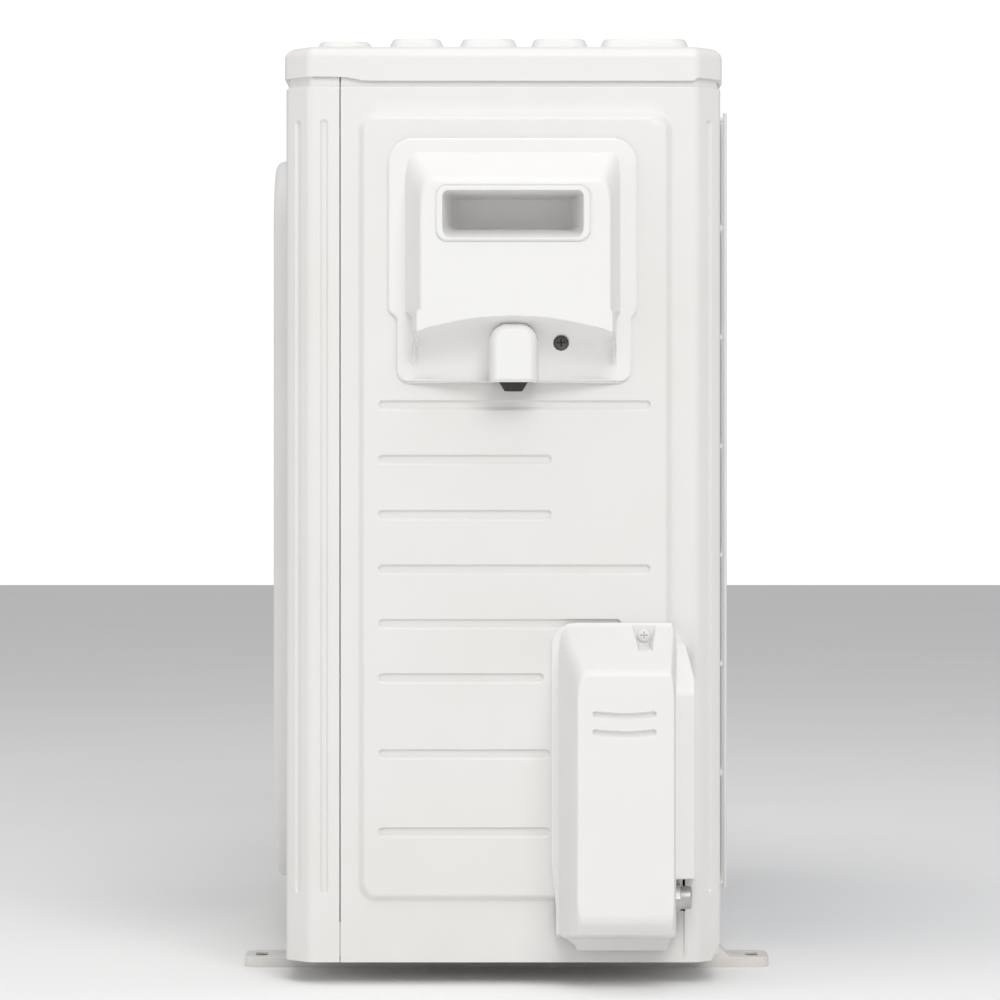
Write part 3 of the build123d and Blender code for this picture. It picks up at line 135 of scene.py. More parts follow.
# Covers
WIRING_FLANGE, WIRING_FACE = 436.7, 470.0
WIRING_Y = (-83.4, 91.3)
WIRING_Z = (423.5, 596.0)
WIRING_LOW_EDGE = 424.7
HOOD = ((-11.4, 20.5), (380.0, 464.2))
WELL = (38.0, 452.0)
HOLD_RING = ((-49.6, 58.0), (521.0, 559.8))
HOLD = ((-45.1, 53.4), (522.5, 556.5))
VALVE_FLANGE = 436.5
VALVE_Y = (31.3, 131.0)
VALVE_Z = (25.1, 255.2)
BODY_BACK_Y = 119.3
SHOULDER_LOW = 74.9
CURVED_SLOTS = (193.4, 181.0)

# Fan guard
GUARD_RADIUS = 60.0
GUARD_HOLE_R = 264.0
GUARD_HUB_R = 54.0
SPOKES = 18
RINGS = 16
RING_STEP = 12.5

# Coil
COIL_DEPTH = 22.0
COIL_BEND = 71.0

# Camera, in metres and millimetres of lens
CAMERA_AWAY = 2.640
CAMERA_Y = -0.0049
CAMERA_Z = 0.3415
CAMERA_LENS = 134.96


class OUTDOOR_PG_casing(bpy.types.PropertyGroup):
    """Sizes of the pressed casing sheets."""

    groove_depth: FloatProperty(
        name="Groove depth", description="Depth of the pressed grooves", default=0.0025, unit="LENGTH"
    )
    bead_depth: FloatProperty(
        name="Bead depth", description="Depth of the upright beads", default=0.0020, unit="LENGTH"
    )
    rib_height: FloatProperty(
        name="Rib height",
        description="Height of the ribs above the lid plate",
        default=(RIB_TOP - LID_PLATE_Z) * MM,
        unit="LENGTH",
    )


class OUTDOOR_PG_covers(bpy.types.PropertyGroup):
    """Sizes of the two moulded covers."""

    wall: FloatProperty(
        name="Wall", description="Thickness of the moulded covers", default=0.0025, unit="LENGTH"
    )
    lip_height: FloatProperty(
        name="Lip height", description="Height of the ring round the hand-hold", default=0.0018, unit="LENGTH"
    )
    slot_depth: FloatProperty(
        name="Slot depth", description="Depth of the two curved slots", default=0.0032, unit="LENGTH"
    )


class OUTDOOR_PG_air(bpy.types.PropertyGroup):
    """Fan guard and coil."""

    rod_radius: FloatProperty(
        name="Rod radius", description="Radius of the guard's rings", default=0.0017, unit="LENGTH"
    )
    fin_pitch: FloatProperty(
        name="Fin pitch", description="Distance between coil fins", default=0.0019, unit="LENGTH"
    )
    fin_thickness: FloatProperty(
        name="Fin thickness", description="Thickness of a coil fin", default=0.0003, unit="LENGTH"
    )
    ring_steps: IntProperty(
        name="Ring steps", description="Points round each ring of the guard", default=144, min=24
    )


class OUTDOOR_PG_finish(bpy.types.PropertyGroup):
    """Colours of the main finishes."""

    panel: FloatVectorProperty(
        name="Panels", description="Powder coat of the sheets", default=(0.80, 0.79, 0.775), subtype="COLOR"
    )
    cover: FloatVectorProperty(
        name="Covers", description="Plastic of the covers", default=(0.84, 0.835, 0.83), subtype="COLOR"
    )
    foot: FloatVectorProperty(
        name="Feet", description="Coat of the foot rails", default=(0.78, 0.765, 0.745), subtype="COLOR"
    )
    fins: FloatVectorProperty(
        name="Fins", description="Coating of the coil fins", default=(0.13, 0.27, 0.52), subtype="COLOR"
    )


# ---------------------------------------------------------------- formulas


def ease(value):
    """Smooth step: 0 below 0, 1 above 1, 3t^2 - 2t^3 between."""
    t = np.clip(value, 0.0, 1.0)
    return t * t * (3.0 - 2.0 * t)


def soft_min(a, b, width):
    """Smaller of two heights, the crease between them rounded over the width."""
    near = np.maximum(width - np.abs(a - b), 0.0) / width
    return np.minimum(a, b) - near * near * width / 4.0


def soft_max(a, b, width):
    """Larger of two heights, the crease between them rounded over the width."""
    return -soft_min(-a, -b, width)


def depth_inside(y, z, y_span, z_span, radius):
    """Distance inwards from the edge of a rounded rectangle, negative outside it."""
    over_y = np.abs(y - sum(y_span) / 2) - (y_span[1] - y_span[0]) / 2 + radius
    over_z = np.abs(z - sum(z_span) / 2) - (z_span[1] - z_span[0]) / 2 + radius
    outside = np.hypot(np.maximum(over_y, 0.0), np.maximum(over_z, 0.0))
    return radius - outside - np.minimum(np.maximum(over_y, over_z), 0.0)


def stations(low, high, coarse, fine=()):
    """Values from low to high, coarse apart, and closer within the fine (low, high, step) spans."""
    cuts = {low, high}
    for a, b, _ in fine:
        cuts.update((min(max(a, low), high), min(max(b, low), high)))
    cuts = sorted(cuts)
    runs = []
    for a, b in zip(cuts, cuts[1:]):
        steps = [step for f0, f1, step in fine if f0 <= (a + b) / 2 <= f1]
        count = max(1, math.ceil((b - a) / min(steps + [coarse]) - 1e-6))
        runs.append(np.linspace(a, b, count + 1)[:-1])
    return np.append(np.concatenate(runs), high)


def follow(corners, radius, s):
    """Points and outward normals at lengths s of a path whose corners are arcs.

    The bearing is constant on each run and changes evenly along each arc, and the
    points are the running sum of its cosine and sine.
    """
    legs = np.diff(np.asarray(corners, float), axis=0)
    bearings = np.unwrap(np.arctan2(legs[:, 1], legs[:, 0]))
    turns = np.abs(np.diff(bearings))
    trims = radius * np.tan(turns / 2)
    runs = np.hypot(legs[:, 0], legs[:, 1])
    runs[:-1] -= trims
    runs[1:] -= trims
    parts = np.zeros(2 * len(runs) - 1)
    parts[::2] = runs
    parts[1::2] = radius * turns
    knots = np.concatenate(([0.0], np.cumsum(parts)))
    dense = np.unique(np.concatenate((np.linspace(0, knots[-1], 40001), knots)))
    bearing = np.interp(dense, knots, np.repeat(bearings, 2))
    middle = (bearing[1:] + bearing[:-1]) / 2
    x = corners[0][0] + np.append(0.0, np.cumsum(np.diff(dense) * np.cos(middle)))
    y = corners[0][1] + np.append(0.0, np.cumsum(np.diff(dense) * np.sin(middle)))
    at = np.interp(s, knots, np.repeat(bearings, 2))
    return np.interp(s, dense, x), np.interp(s, dense, y), np.sin(at), -np.cos(at), knots


# ---------------------------------------------------------------- meshes


def grid_faces(rows, columns, closed_rows=False, closed_columns=False):
    """Quads that join the points of a grid of rows and columns."""
    index = np.arange(rows * columns).reshape(rows, columns)
    if closed_rows:
        index = np.vstack((index, index[:1]))
    if closed_columns:
        index = np.hstack((index, index[:, :1]))
    quads = (index[:-1, :-1], index[:-1, 1:], index[1:, 1:], index[1:, :-1])
    return np.stack(quads, axis=-1).reshape(-1, 4)


def surface(points, closed_rows=False, closed_columns=False, keep=None):
    """Points and faces of one grid; keep marks the faces that stay."""
    rows, columns = points.shape[:2]
    faces = grid_faces(rows, columns, closed_rows, closed_columns)
    if keep is not None:
        faces = faces[keep.reshape(-1)]
    return points.reshape(-1, 3), faces.tolist()


def join(surfaces):
    """One list of points and faces from several surfaces."""
    points, faces, count = [], [], 0
    for part_points, part_faces in surfaces:
        points.append(part_points)
        faces += [[corner + count for corner in face] for face in part_faces]
        count += len(part_points)
    return np.concatenate(points), faces


def bake_modifiers(obj):
    """Makes the object's modifiers part of its mesh."""
    graph = bpy.context.evaluated_depsgraph_get()
    baked = bpy.data.meshes.new_from_object(obj.evaluated_get(graph))
    obj.modifiers.clear()
    obj.data = baked


def clean(mesh):
    """Merges doubled points and removes faces with no area and loose points."""
    work = bmesh.new()
    work.from_mesh(mesh)
    bmesh.ops.remove_doubles(work, verts=work.verts, dist=1e-6)
    bmesh.ops.dissolve_degenerate(work, edges=work.edges, dist=1e-7)
    loose = [v for v in work.verts if not v.link_faces]
    bmesh.ops.delete(work, geom=loose, context="VERTS")
    work.to_mesh(mesh)
    work.free()


def finish_piece(obj, body, finish, replaced, crease):
    """Shades the piece, gives it its finish and puts it in the frame."""
    mesh = obj.data
    mesh.shade_smooth()
    mesh.set_sharp_from_angle(angle=math.radians(crease))
    mesh.materials.clear()
    mesh.materials.append(finish)
    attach(obj, body)
    if replaced:
        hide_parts(*replaced)
    return obj


def piece(name, surfaces, body, slot, replaced=(), wall=0.0, crease=38.0, finish=None):
    """Object from surfaces in millimetres; a wall is added on their inner side.

    It takes the finish of its slot unless another is named.
    """
    points, faces = join(surfaces)
    mesh = bpy.data.meshes.new(name)
    mesh.from_pydata((points * MM).tolist(), [], faces)
    clean(mesh)
    obj = bpy.data.objects.new(name, mesh)
    bpy.context.scene.collection.objects.link(obj)
    if wall:
        solid = obj.modifiers.new("wall", "SOLIDIFY")
        solid.thickness = wall * MM
        solid.offset = -1.0
        bake_modifiers(obj)
    return finish_piece(obj, body, FINISH[finish or slot], replaced, crease)


def softened(node, body, finish, width):
    """Copy of a frame node with merged points and rounded edges."""
    mesh = frame["nodes"][node].data.copy()
    work = bmesh.new()
    work.from_mesh(mesh)
    bmesh.ops.remove_doubles(work, verts=work.verts, dist=2e-6)
    flat = math.radians(0.6)
    bmesh.ops.dissolve_limit(work, angle_limit=flat, verts=work.verts, edges=work.edges)
    work.to_mesh(mesh)
    work.free()
    obj = bpy.data.objects.new(node + "_finished", mesh)
    bpy.context.scene.collection.objects.link(obj)
    bevel = obj.modifiers.new("soft_edges", "BEVEL")
    bevel.width = width * MM
    bevel.segments = 2
    bevel.limit_method = "ANGLE"
    bevel.angle_limit = math.radians(30.0)
    bake_modifiers(obj)
    return finish_piece(obj, body, FINISH[finish], (node,), 42.0)


# ---------------------------------------------------------------- finishes


def new_group(name, inputs, outputs):
    """Shader node group with named sockets; returns the tree and its two end nodes."""
    tree = bpy.data.node_groups.new(name, "ShaderNodeTree")
    for label, kind, default in inputs:
        made = tree.interface.new_socket(label, in_out="INPUT", socket_type=kind)
        if default is not None:
            made.default_value = default
    for label, kind in outputs:
        tree.interface.new_socket(label, in_out="OUTPUT", socket_type=kind)
    return tree, tree.nodes.new("NodeGroupInput"), tree.nodes.new("NodeGroupOutput")


def noise(tree, vector, scale, detail=2.0, rough=0.5):
    """Noise texture over a vector; returns its value socket."""
    texture = tree.nodes.new("ShaderNodeTexNoise")
    texture.inputs["Detail"].default_value = detail
    texture.inputs["Roughness"].default_value = rough
    tree.links.new(vector, texture.inputs["Vector"])
    if isinstance(scale, (int, float)):
        texture.inputs["Scale"].default_value = scale
    else:
        tree.links.new(scale, texture.inputs["Scale"])
    return texture.outputs["Fac"]


def reach(tree, value, low, high, to_low=0.0, to_high=1.0):
    """Map range from low..high, clamped."""
    made = tree.nodes.new("ShaderNodeMapRange")
    made.inputs["From Min"].default_value = low
    made.inputs["From Max"].default_value = high
    made.inputs["To Min"].default_value = to_low
    made.inputs["To Max"].default_value = to_high
    tree.links.new(value, made.inputs["Value"])
    return made.outputs["Result"]


def arithmetic(tree, operation, a, b):
    """Math node on two sockets or numbers."""
    made = tree.nodes.new("ShaderNodeMath")
    made.operation = operation
    for slot_index, value in enumerate((a, b)):
        if isinstance(value, (int, float)):
            made.inputs[slot_index].default_value = value
        else:
            tree.links.new(value, made.inputs[slot_index])
    return made.outputs[0]


def tint(tree, factor, first, second):
    """Colour mix; the colours are sockets or RGB tuples."""
    made = tree.nodes.new("ShaderNodeMix")
    made.data_type = "RGBA"
    tree.links.new(factor, made.inputs["Factor"])
    for label, value in (("A", first), ("B", second)):
        target = [s for s in made.inputs if s.name == label and s.type == "RGBA"][0]
        if isinstance(value, tuple):
            target.default_value = (*value, 1.0)
        else:
            tree.links.new(value, target)
    return [s for s in made.outputs if s.type == "RGBA"][0]


def build_coat_group():
    """Sprayed or moulded skin: fine ripples as a height, slow clouding as a mask."""
    tree, start, end = new_group(
        "sprayed_skin",
        (("Vector", "NodeSocketVector", None), ("Scale", "NodeSocketFloat", 700.0)),
        (("Height", "NodeSocketFloat"), ("Clouding", "NodeSocketFloat")),
    )
    ripple = noise(tree, start.outputs["Vector"], start.outputs["Scale"], 1.5)
    finer = arithmetic(tree, "MULTIPLY", start.outputs["Scale"], 3.7)
    grain = noise(tree, start.outputs["Vector"], finer, 1.0)
    height = arithmetic(tree, "ADD", ripple, arithmetic(tree, "MULTIPLY", grain, 0.35))
    tree.links.new(height, end.inputs["Height"])
    cloud = noise(tree, start.outputs["Vector"], 7.0, 4.0, 0.55)
    tree.links.new(reach(tree, cloud, 0.35, 0.65), end.inputs["Clouding"])
    return tree


def build_dust_group():
    """Thin dust: heaviest near the ground and on level tops, broken up by noise."""
    tree, start, end = new_group(
        "settled_dust",
        (("Vector", "NodeSocketVector", None), ("Amount", "NodeSocketFloat", 0.2)),
        (("Mask", "NodeSocketFloat"),),
    )
    split = tree.nodes.new("ShaderNodeSeparateXYZ")
    tree.links.new(start.outputs["Vector"], split.inputs["Vector"])
    low = reach(tree, split.outputs["Z"], 0.16, 0.0)
    facing = tree.nodes.new("ShaderNodeNewGeometry")
    turned = tree.nodes.new("ShaderNodeSeparateXYZ")
    tree.links.new(facing.outputs["Normal"], turned.inputs["Vector"])
    level = reach(tree, turned.outputs["Z"], 0.6, 1.0, 0.0, 0.5)
    patches = reach(tree, noise(tree, start.outputs["Vector"], 45.0, 5.0, 0.6), 0.38, 0.62)
    total = arithmetic(tree, "MULTIPLY", arithmetic(tree, "ADD", low, level), patches)
    tree.links.new(arithmetic(tree, "MULTIPLY", total, start.outputs["Amount"]), end.inputs["Mask"])
    return tree


def build_drawn_group():
    """Lines left by drawing or rolling: noise squeezed across one axis."""
    tree, start, end = new_group(
        "drawn_lines",
        (("Vector", "NodeSocketVector", None), ("Stretch", "NodeSocketVector", (1.0, 1.0, 1.0))),
        (("Height", "NodeSocketFloat"), ("Streaks", "NodeSocketFloat")),
    )
    scaled = tree.nodes.new("ShaderNodeVectorMath")
    scaled.operation = "MULTIPLY"
    tree.links.new(start.outputs["Vector"], scaled.inputs[0])
    tree.links.new(start.outputs["Stretch"], scaled.inputs[1])
    lines = noise(tree, scaled.outputs["Vector"], 60.0, 3.0, 0.6)
    tree.links.new(lines, end.inputs["Height"])
    tree.links.new(reach(tree, lines, 0.35, 0.65), end.inputs["Streaks"])
    return tree


def build_spangle_group():
    """Zinc crystals: cells whose grey differs, with thin borders."""
    tree, start, end = new_group(
        "zinc_spangle",
        (("Vector", "NodeSocketVector", None), ("Scale", "NodeSocketFloat", 180.0)),
        (("Cells", "NodeSocketFloat"), ("Height", "NodeSocketFloat")),
    )
    cells = tree.nodes.new("ShaderNodeTexVoronoi")
    tree.links.new(start.outputs["Vector"], cells.inputs["Vector"])
    tree.links.new(start.outputs["Scale"], cells.inputs["Scale"])
    split = tree.nodes.new("ShaderNodeSeparateColor")
    tree.links.new(cells.outputs["Color"], split.inputs["Color"])
    tree.links.new(split.outputs["Red"], end.inputs["Cells"])
    tree.links.new(cells.outputs["Distance"], end.inputs["Height"])
    return tree


def place_group(tree, group, vector, **values):
    """Group node in a material, fed by the object coordinates."""
    made = tree.nodes.new("ShaderNodeGroup")
    made.node_tree = group
    tree.links.new(vector, made.inputs["Vector"])
    for label, value in values.items():
        made.inputs[label].default_value = value
    return made


def new_finish(name, roughness, metallic=0.0, coat=0.0):
    """Material with a Principled shader; returns it, its tree, shader and coordinates."""
    made = bpy.data.materials.new(name)
    made.use_nodes = True
    tree = made.node_tree
    shader = tree.nodes["Principled BSDF"]
    shader.inputs["Roughness"].default_value = roughness
    shader.inputs["Metallic"].default_value = metallic
    shader.inputs["Coat Weight"].default_value = coat
    where = tree.nodes.new("ShaderNodeTexCoord").outputs["Object"]
    return made, tree, shader, where


def bump(tree, shader, height, strength, distance):
    """Feeds a height to the shader's normal."""
    made = tree.nodes.new("ShaderNodeBump")
    made.inputs["Strength"].default_value = strength
    made.inputs["Distance"].default_value = distance
    tree.links.new(height, made.inputs["Height"])
    tree.links.new(made.outputs["Normal"], shader.inputs["Normal"])


def coated(name, colour, roughness, ripple, coat, dust, groups):
    """Powder coat or moulded plastic: ripples, slight clouding, a little dust low down."""
    made, tree, shader, where = new_finish(name, roughness, coat=coat)
    colour = tuple(colour)
    skin = place_group(tree, groups["skin"], where, Scale=ripple)
    film = place_group(tree, groups["dust"], where, Amount=dust)
    clouded = tuple(channel * shade for channel, shade in zip(colour, (0.972, 0.968, 0.958)))
    base = tint(tree, skin.outputs["Clouding"], colour, clouded)
    dusty = tuple(channel * shade for channel, shade in zip(colour, (0.86, 0.83, 0.78)))
    tree.links.new(tint(tree, film.outputs["Mask"], base, dusty), shader.inputs["Base Color"])
    dull = reach(tree, skin.outputs["Clouding"], 0.0, 1.0, roughness - 0.04, roughness + 0.05)
    tree.links.new(dull, shader.inputs["Roughness"])
    bump(tree, shader, skin.outputs["Height"], 0.10, 0.0002)
    return made


def drawn_metal(name, bright, dark, roughness, stretch, groups, metallic=1.0):
    """Bare metal with drawing lines and slow tarnish."""
    made, tree, shader, where = new_finish(name, roughness, metallic)
    lines = place_group(tree, groups["drawn"], where, Stretch=stretch)
    tarnish = reach(tree, noise(tree, where, 24.0, 4.0, 0.6), 0.40, 0.66, 0.0, 0.7)
    base = tint(tree, tarnish, bright, dark)
    tree.links.new(tint(tree, reach(tree, lines.outputs["Streaks"], 0, 1, 0, 0.25), base, dark),
                   shader.inputs["Base Color"])
    tree.links.new(reach(tree, lines.outputs["Streaks"], 0, 1, roughness - 0.07, roughness + 0.10),
                   shader.inputs["Roughness"])
    bump(tree, shader, lines.outputs["Height"], 0.08, 0.0002)
    return made


def zinc_sheet(name, groups):
    """Hot-dip galvanised sheet."""
    made, tree, shader, where = new_finish(name, 0.42, 1.0)
    cells = place_group(tree, groups["spangle"], where, Scale=160.0)
    base = tint(tree, cells.outputs["Cells"], (0.60, 0.61, 0.62), (0.47, 0.49, 0.51))
    tree.links.new(base, shader.inputs["Base Color"])
    tree.links.new(reach(tree, cells.outputs["Cells"], 0, 1, 0.34, 0.52), shader.inputs["Roughness"])
    bump(tree, shader, cells.outputs["Height"], 0.05, 0.0002)
    return made


def soft_solid(name, colour, roughness, scale, depth, groups, coat=0.0):
    """Rubber, enamel or moulded resin of one colour with a fine skin."""
    made, tree, shader, where = new_finish(name, roughness, coat=coat)
    skin = place_group(tree, groups["skin"], where, Scale=scale)
    worn = tuple(min(1.0, channel * 1.35 + 0.004) for channel in colour)
    tree.links.new(tint(tree, skin.outputs["Clouding"], colour, worn), shader.inputs["Base Color"])
    tree.links.new(reach(tree, skin.outputs["Clouding"], 0, 1, roughness, roughness + 0.12),
                   shader.inputs["Roughness"])
    bump(tree, shader, skin.outputs["Height"], depth, 0.0003)
    return made


def fin_coating(name, colour, groups):
    """Blue hydrophilic coating on aluminium, lighter where it catches the rolled ripple."""
    made, tree, shader, where = new_finish(name, 0.38, 0.55)
    lines = place_group(tree, groups["drawn"], where, Stretch=(3.0, 3.0, 0.6))
    colour = tuple(colour)
    pale = tuple(channel * 1.25 + 0.03 for channel in colour)
    tree.links.new(tint(tree, lines.outputs["Streaks"], colour, pale), shader.inputs["Base Color"])
    wave = tree.nodes.new("ShaderNodeTexWave")
    wave.bands_direction = "Z"
    wave.inputs["Scale"].default_value = 160.0
    tree.links.new(where, wave.inputs["Vector"])
    bump(tree, shader, wave.outputs["Fac"], 0.25, 0.0004)
    return made


def printed_board(name, groups):
    """Green solder mask with paler tracks."""
    made, tree, shader, where = new_finish(name, 0.35, coat=0.3)
    tracks = tree.nodes.new("ShaderNodeTexBrick")
    tracks.inputs["Scale"].default_value = 90.0
    tracks.inputs["Color1"].default_value = (0.015, 0.13, 0.045, 1.0)
    tracks.inputs["Color2"].default_value = (0.02, 0.17, 0.06, 1.0)
    tracks.inputs["Mortar"].default_value = (0.05, 0.26, 0.10, 1.0)
    tracks.inputs["Mortar Size"].default_value = 0.03
    tree.links.new(where, tracks.inputs["Vector"])
    skin = place_group(tree, groups["skin"], where, Scale=900.0)
    dark = tint(tree, reach(tree, skin.outputs["Clouding"], 0, 1, 0, 0.35), tracks.outputs["Color"],
                (0.01, 0.07, 0.03))
    tree.links.new(dark, shader.inputs["Base Color"])
    bump(tree, shader, tracks.outputs["Fac"], 0.2, 0.0002)
    return made


FINISH = {}


class OUTDOOR_OT_finishes(bpy.types.Operator):
    """Makes the finishes and gives each frame node the one its slot names"""

    bl_idname = "outdoor.finishes"
    bl_label = "Finishes"

    def execute(self, context):
        colours = context.scene.outdoor_finish
        groups = {
            "skin": build_coat_group(),
            "dust": build_dust_group(),
            "drawn": build_drawn_group(),
            "spangle": build_spangle_group(),
        }
        even = (1.0, 1.0, 1.0)
        FINISH.update(
            panel_paint=coated("panel_enamel", colours.panel, 0.42, 650.0, 0.08, 0.10, groups),
            foot_paint=coated("foot_enamel", colours.foot, 0.48, 650.0, 0.0, 0.5, groups),
            cover_plastic=coated("cover_plastic", colours.cover, 0.46, 1400.0, 0.0, 0.05, groups),
            guard_plastic=coated("guard_plastic", colours.cover, 0.50, 1400.0, 0.0, 0.25, groups),
            fan_plastic=soft_solid("fan_plastic", (0.40, 0.43, 0.46), 0.45, 1200.0, 0.08, groups),
            galvanised=zinc_sheet("zinc_sheet", groups),
            guard_wire=coated("wire_coating", colours.panel, 0.38, 900.0, 0.15, 0.3, groups),
            coil_fins=fin_coating("fin_coating", colours.fins, groups),
            copper=drawn_metal("copper_tube", (0.86, 0.44, 0.28), (0.45, 0.20, 0.12), 0.26, even, groups),
            brass=drawn_metal("brass_fitting", (0.80, 0.60, 0.28), (0.50, 0.36, 0.16), 0.28, even, groups),
            black_paint=soft_solid("black_enamel", (0.012, 0.012, 0.013), 0.26, 420.0, 0.14, groups, 0.4),
            rubber=soft_solid("rubber", (0.030, 0.029, 0.028), 0.78, 900.0, 0.3, groups),
            black_plastic=soft_solid("black_plastic", (0.022, 0.022, 0.024), 0.5, 1100.0, 0.15, groups),
            board=printed_board("printed_board", groups),
            capacitor=drawn_metal("aluminium_can", (0.80, 0.80, 0.81), (0.58, 0.58, 0.60), 0.3,
                                  (9.0, 9.0, 0.6), groups),
            plated_nut=drawn_metal("plated_nut", (0.60, 0.59, 0.57), (0.34, 0.33, 0.31), 0.42, even, groups),
            # Near-black screw finish: painted shade standing for the shade of the wiring cover's deep screw
            # well
            dark_screw=soft_solid("screw_painted_well_shade", (0.09, 0.085, 0.08), 0.42, 900.0, 0.1, groups),
            steel=drawn_metal("zinc_steel", (0.62, 0.62, 0.63), (0.40, 0.40, 0.42), 0.34, even, groups),
        )
        for row in frame["record"]["subparts"]:
            node = frame["nodes"][row["node"]]
            node.data.materials.clear()
            node.data.materials.append(FINISH[row["material_slot"]])
        return {"FINISHED"}


# ---------------------------------------------------------------- casing


def bead(across, z, half, z_span):
    """Height 0..1 of an upright bead: full at its middle line, rounded at both ends."""
    beyond = np.maximum(np.maximum(z_span[0] + half - z, z - z_span[1] + half), 0.0)
    return ease((half - np.hypot(across, beyond)) / 1.6)


def side_relief(y, z, depth):
    """Height of the service side above its flat sheet.

    A rounded plateau rises over its run.  Each groove is the set of points near a level
    line; it falls steeply from above and climbs gently towards the ground.  A short
    upright fold stands beside the valve slot.
    """
    rise = (PLATEAU_X - SIDE_X) * ease(depth_inside(y, z, PLATEAU_Y, PLATEAU_Z, PLATEAU_RADIUS) / PLATEAU_RUN)
    for line_z, end_y in GROOVES:
        beyond = np.maximum(np.maximum(GROOVE_START + GROOVE_HALF - y, y - end_y + GROOVE_HALF), 0.0)
        inside = GROOVE_HALF - np.hypot(beyond, z - line_z)
        run = 2.1 - 1.1 * np.clip((z - line_z) / 1.5, -1.0, 1.0)
        rise -= depth * ease(inside / run)
    past = np.maximum(0.0, np.abs(z - FOLD_Z) - FOLD_HALF)
    return rise + 1.4 * ease((1.6 - np.hypot(y - FOLD_Y, past)) / 1.4)


def cut_low_corner(y, z):
    """Lowest height of a side sheet: its rear lower corner is cut on a slant."""
    return np.maximum(SHEET_LOW, SHEET_LOW + (y - 144.4) * 1.75)


def case_sheet(corners, s, z, relief, cut_corner):
    """Sheet swept upwards along a path: the joggle steps it in behind the lid skirt."""
    x, y, nx, ny, _ = follow(corners, CORNER_ROUND, s)
    height = np.repeat(z[:, None], len(s), axis=1)
    along = np.repeat(s[None, :], len(z), axis=0)
    out = relief(along, height) - JOGGLE * ease((height - JOGGLE_Z + 2.0) / 2.5)
    if cut_corner:
        height = np.maximum(height, cut_low_corner(np.repeat(y[None, :], len(z), axis=0), height))
    return np.stack((x + nx * out, y + ny * out, height), axis=-1)


def window(s, z, s_span, z_span):
    """Faces of the grid that lie in a window."""
    s_mid = (s[1:] + s[:-1]) / 2
    z_mid = (z[1:] + z[:-1]) / 2
    in_s = (s_mid > s_span[0]) & (s_mid < s_span[1])
    in_z = (z_mid > z_span[0]) & (z_mid < z_span[1])
    return in_z[:, None] & in_s[None, :]


class OUTDOOR_OT_side_sheet(bpy.types.Operator):
    """Service side: plateau, pressed grooves, rear bead, windows and stepped top"""

    bl_idname = "outdoor.side_sheet"
    bl_label = "Service side sheet"

    def execute(self, context):
        sizes = context.scene.outdoor_casing
        corners = (
            (SIDE_X, SEAM_BACK_Y),
            (SIDE_X, BACK_Y - CORNER),
            (SIDE_X - CORNER, BACK_Y),
            (span("right_side_panel", 0)[0], BACK_Y),
        )
        flat = BACK_Y - CORNER - SEAM_BACK_Y
        bead_s = flat + CORNER / math.sqrt(2)
        windows = (WIRING_WINDOW, VALVE_WINDOW, VALVE_SLOT)
        across = [(PLATEAU_Y[0], GROOVE_START + 6.0, 0.7), (PLATEAU_Y[1] - 7.0, PLATEAU_Y[1], 0.8)]
        across += [(end - 5.0, end + 1.0, 0.7) for end in (26.4, 31.7, 80.6, 101.4)]
        across += [(edge, edge, 1.0) for hole in windows for edge in hole[0]]
        across += [(FOLD_Y - 1.8, FOLD_Y + 1.8, 0.4)]
        fine = [(a - SEAM_BACK_Y, b - SEAM_BACK_Y, step) for a, b, step in across]
        fine += [(0.0, 1.0, 1.0), (flat - 5.0, flat + 5.0, 0.9), (bead_s - 4.0, bead_s + 4.0, 0.5)]
        fine += [(flat + 1.414 * CORNER - 5.0, flat + 1.414 * CORNER + 5.0, 0.9)]
        total = follow(corners, CORNER_ROUND, np.zeros(1))[4][-1]
        s = stations(0.0, total, 14.0, fine)
        rows = [(SHEET_LOW, SHEET_LOW + 34.0, 2.2), (JOGGLE_Z - 3.0, JOGGLE_Z + 2.0, 0.5)]
        rows += [(line - 4.2, line + 4.2, 0.45) for line, _ in GROOVES]
        rows += [(PLATEAU_Z[0], PLATEAU_Z[0] + 15.0, 0.8), (PLATEAU_Z[1] - 15.0, PLATEAU_Z[1], 0.8)]
        rows += [(edge, edge, 1.0) for hole in windows for edge in hole[1]]
        z = stations(SHEET_LOW, SHEET_HIGH, 14.0, rows)

        def relief(along, height):
            pressed = side_relief(along + SEAM_BACK_Y, height, sizes.groove_depth / MM)
            pressed = np.where(along < flat, pressed, 0.0)
            return pressed - sizes.bead_depth / MM * bead(along - bead_s, height, BEAD_HALF, BEAD_Z)

        points = case_sheet(corners, s, z, relief, True)
        keep = np.ones((len(z) - 1, len(s) - 1), bool)
        for hole_y, hole_z in windows:
            keep &= ~window(s + SEAM_BACK_Y, z, hole_y, hole_z)
        piece("service_side_sheet", [surface(points, keep=keep)], "cabinet", "panel_paint",
              ("right_side_panel",), SHEET_WALL)

        def plain(along, height):
            return np.zeros_like(height)

        lap = ((SIDE_X - LAP_INSET, SEAM_FRONT_Y - LAP), (SIDE_X - LAP_INSET, SEAM_BACK_Y + LAP))
        ends = np.array((0.0, SEAM_BACK_Y - SEAM_FRONT_Y + 2 * LAP))
        piece("seam_lap", [surface(case_sheet(lap, ends, z, plain, False))], "cabinet", "panel_paint")
        return {"FINISHED"}


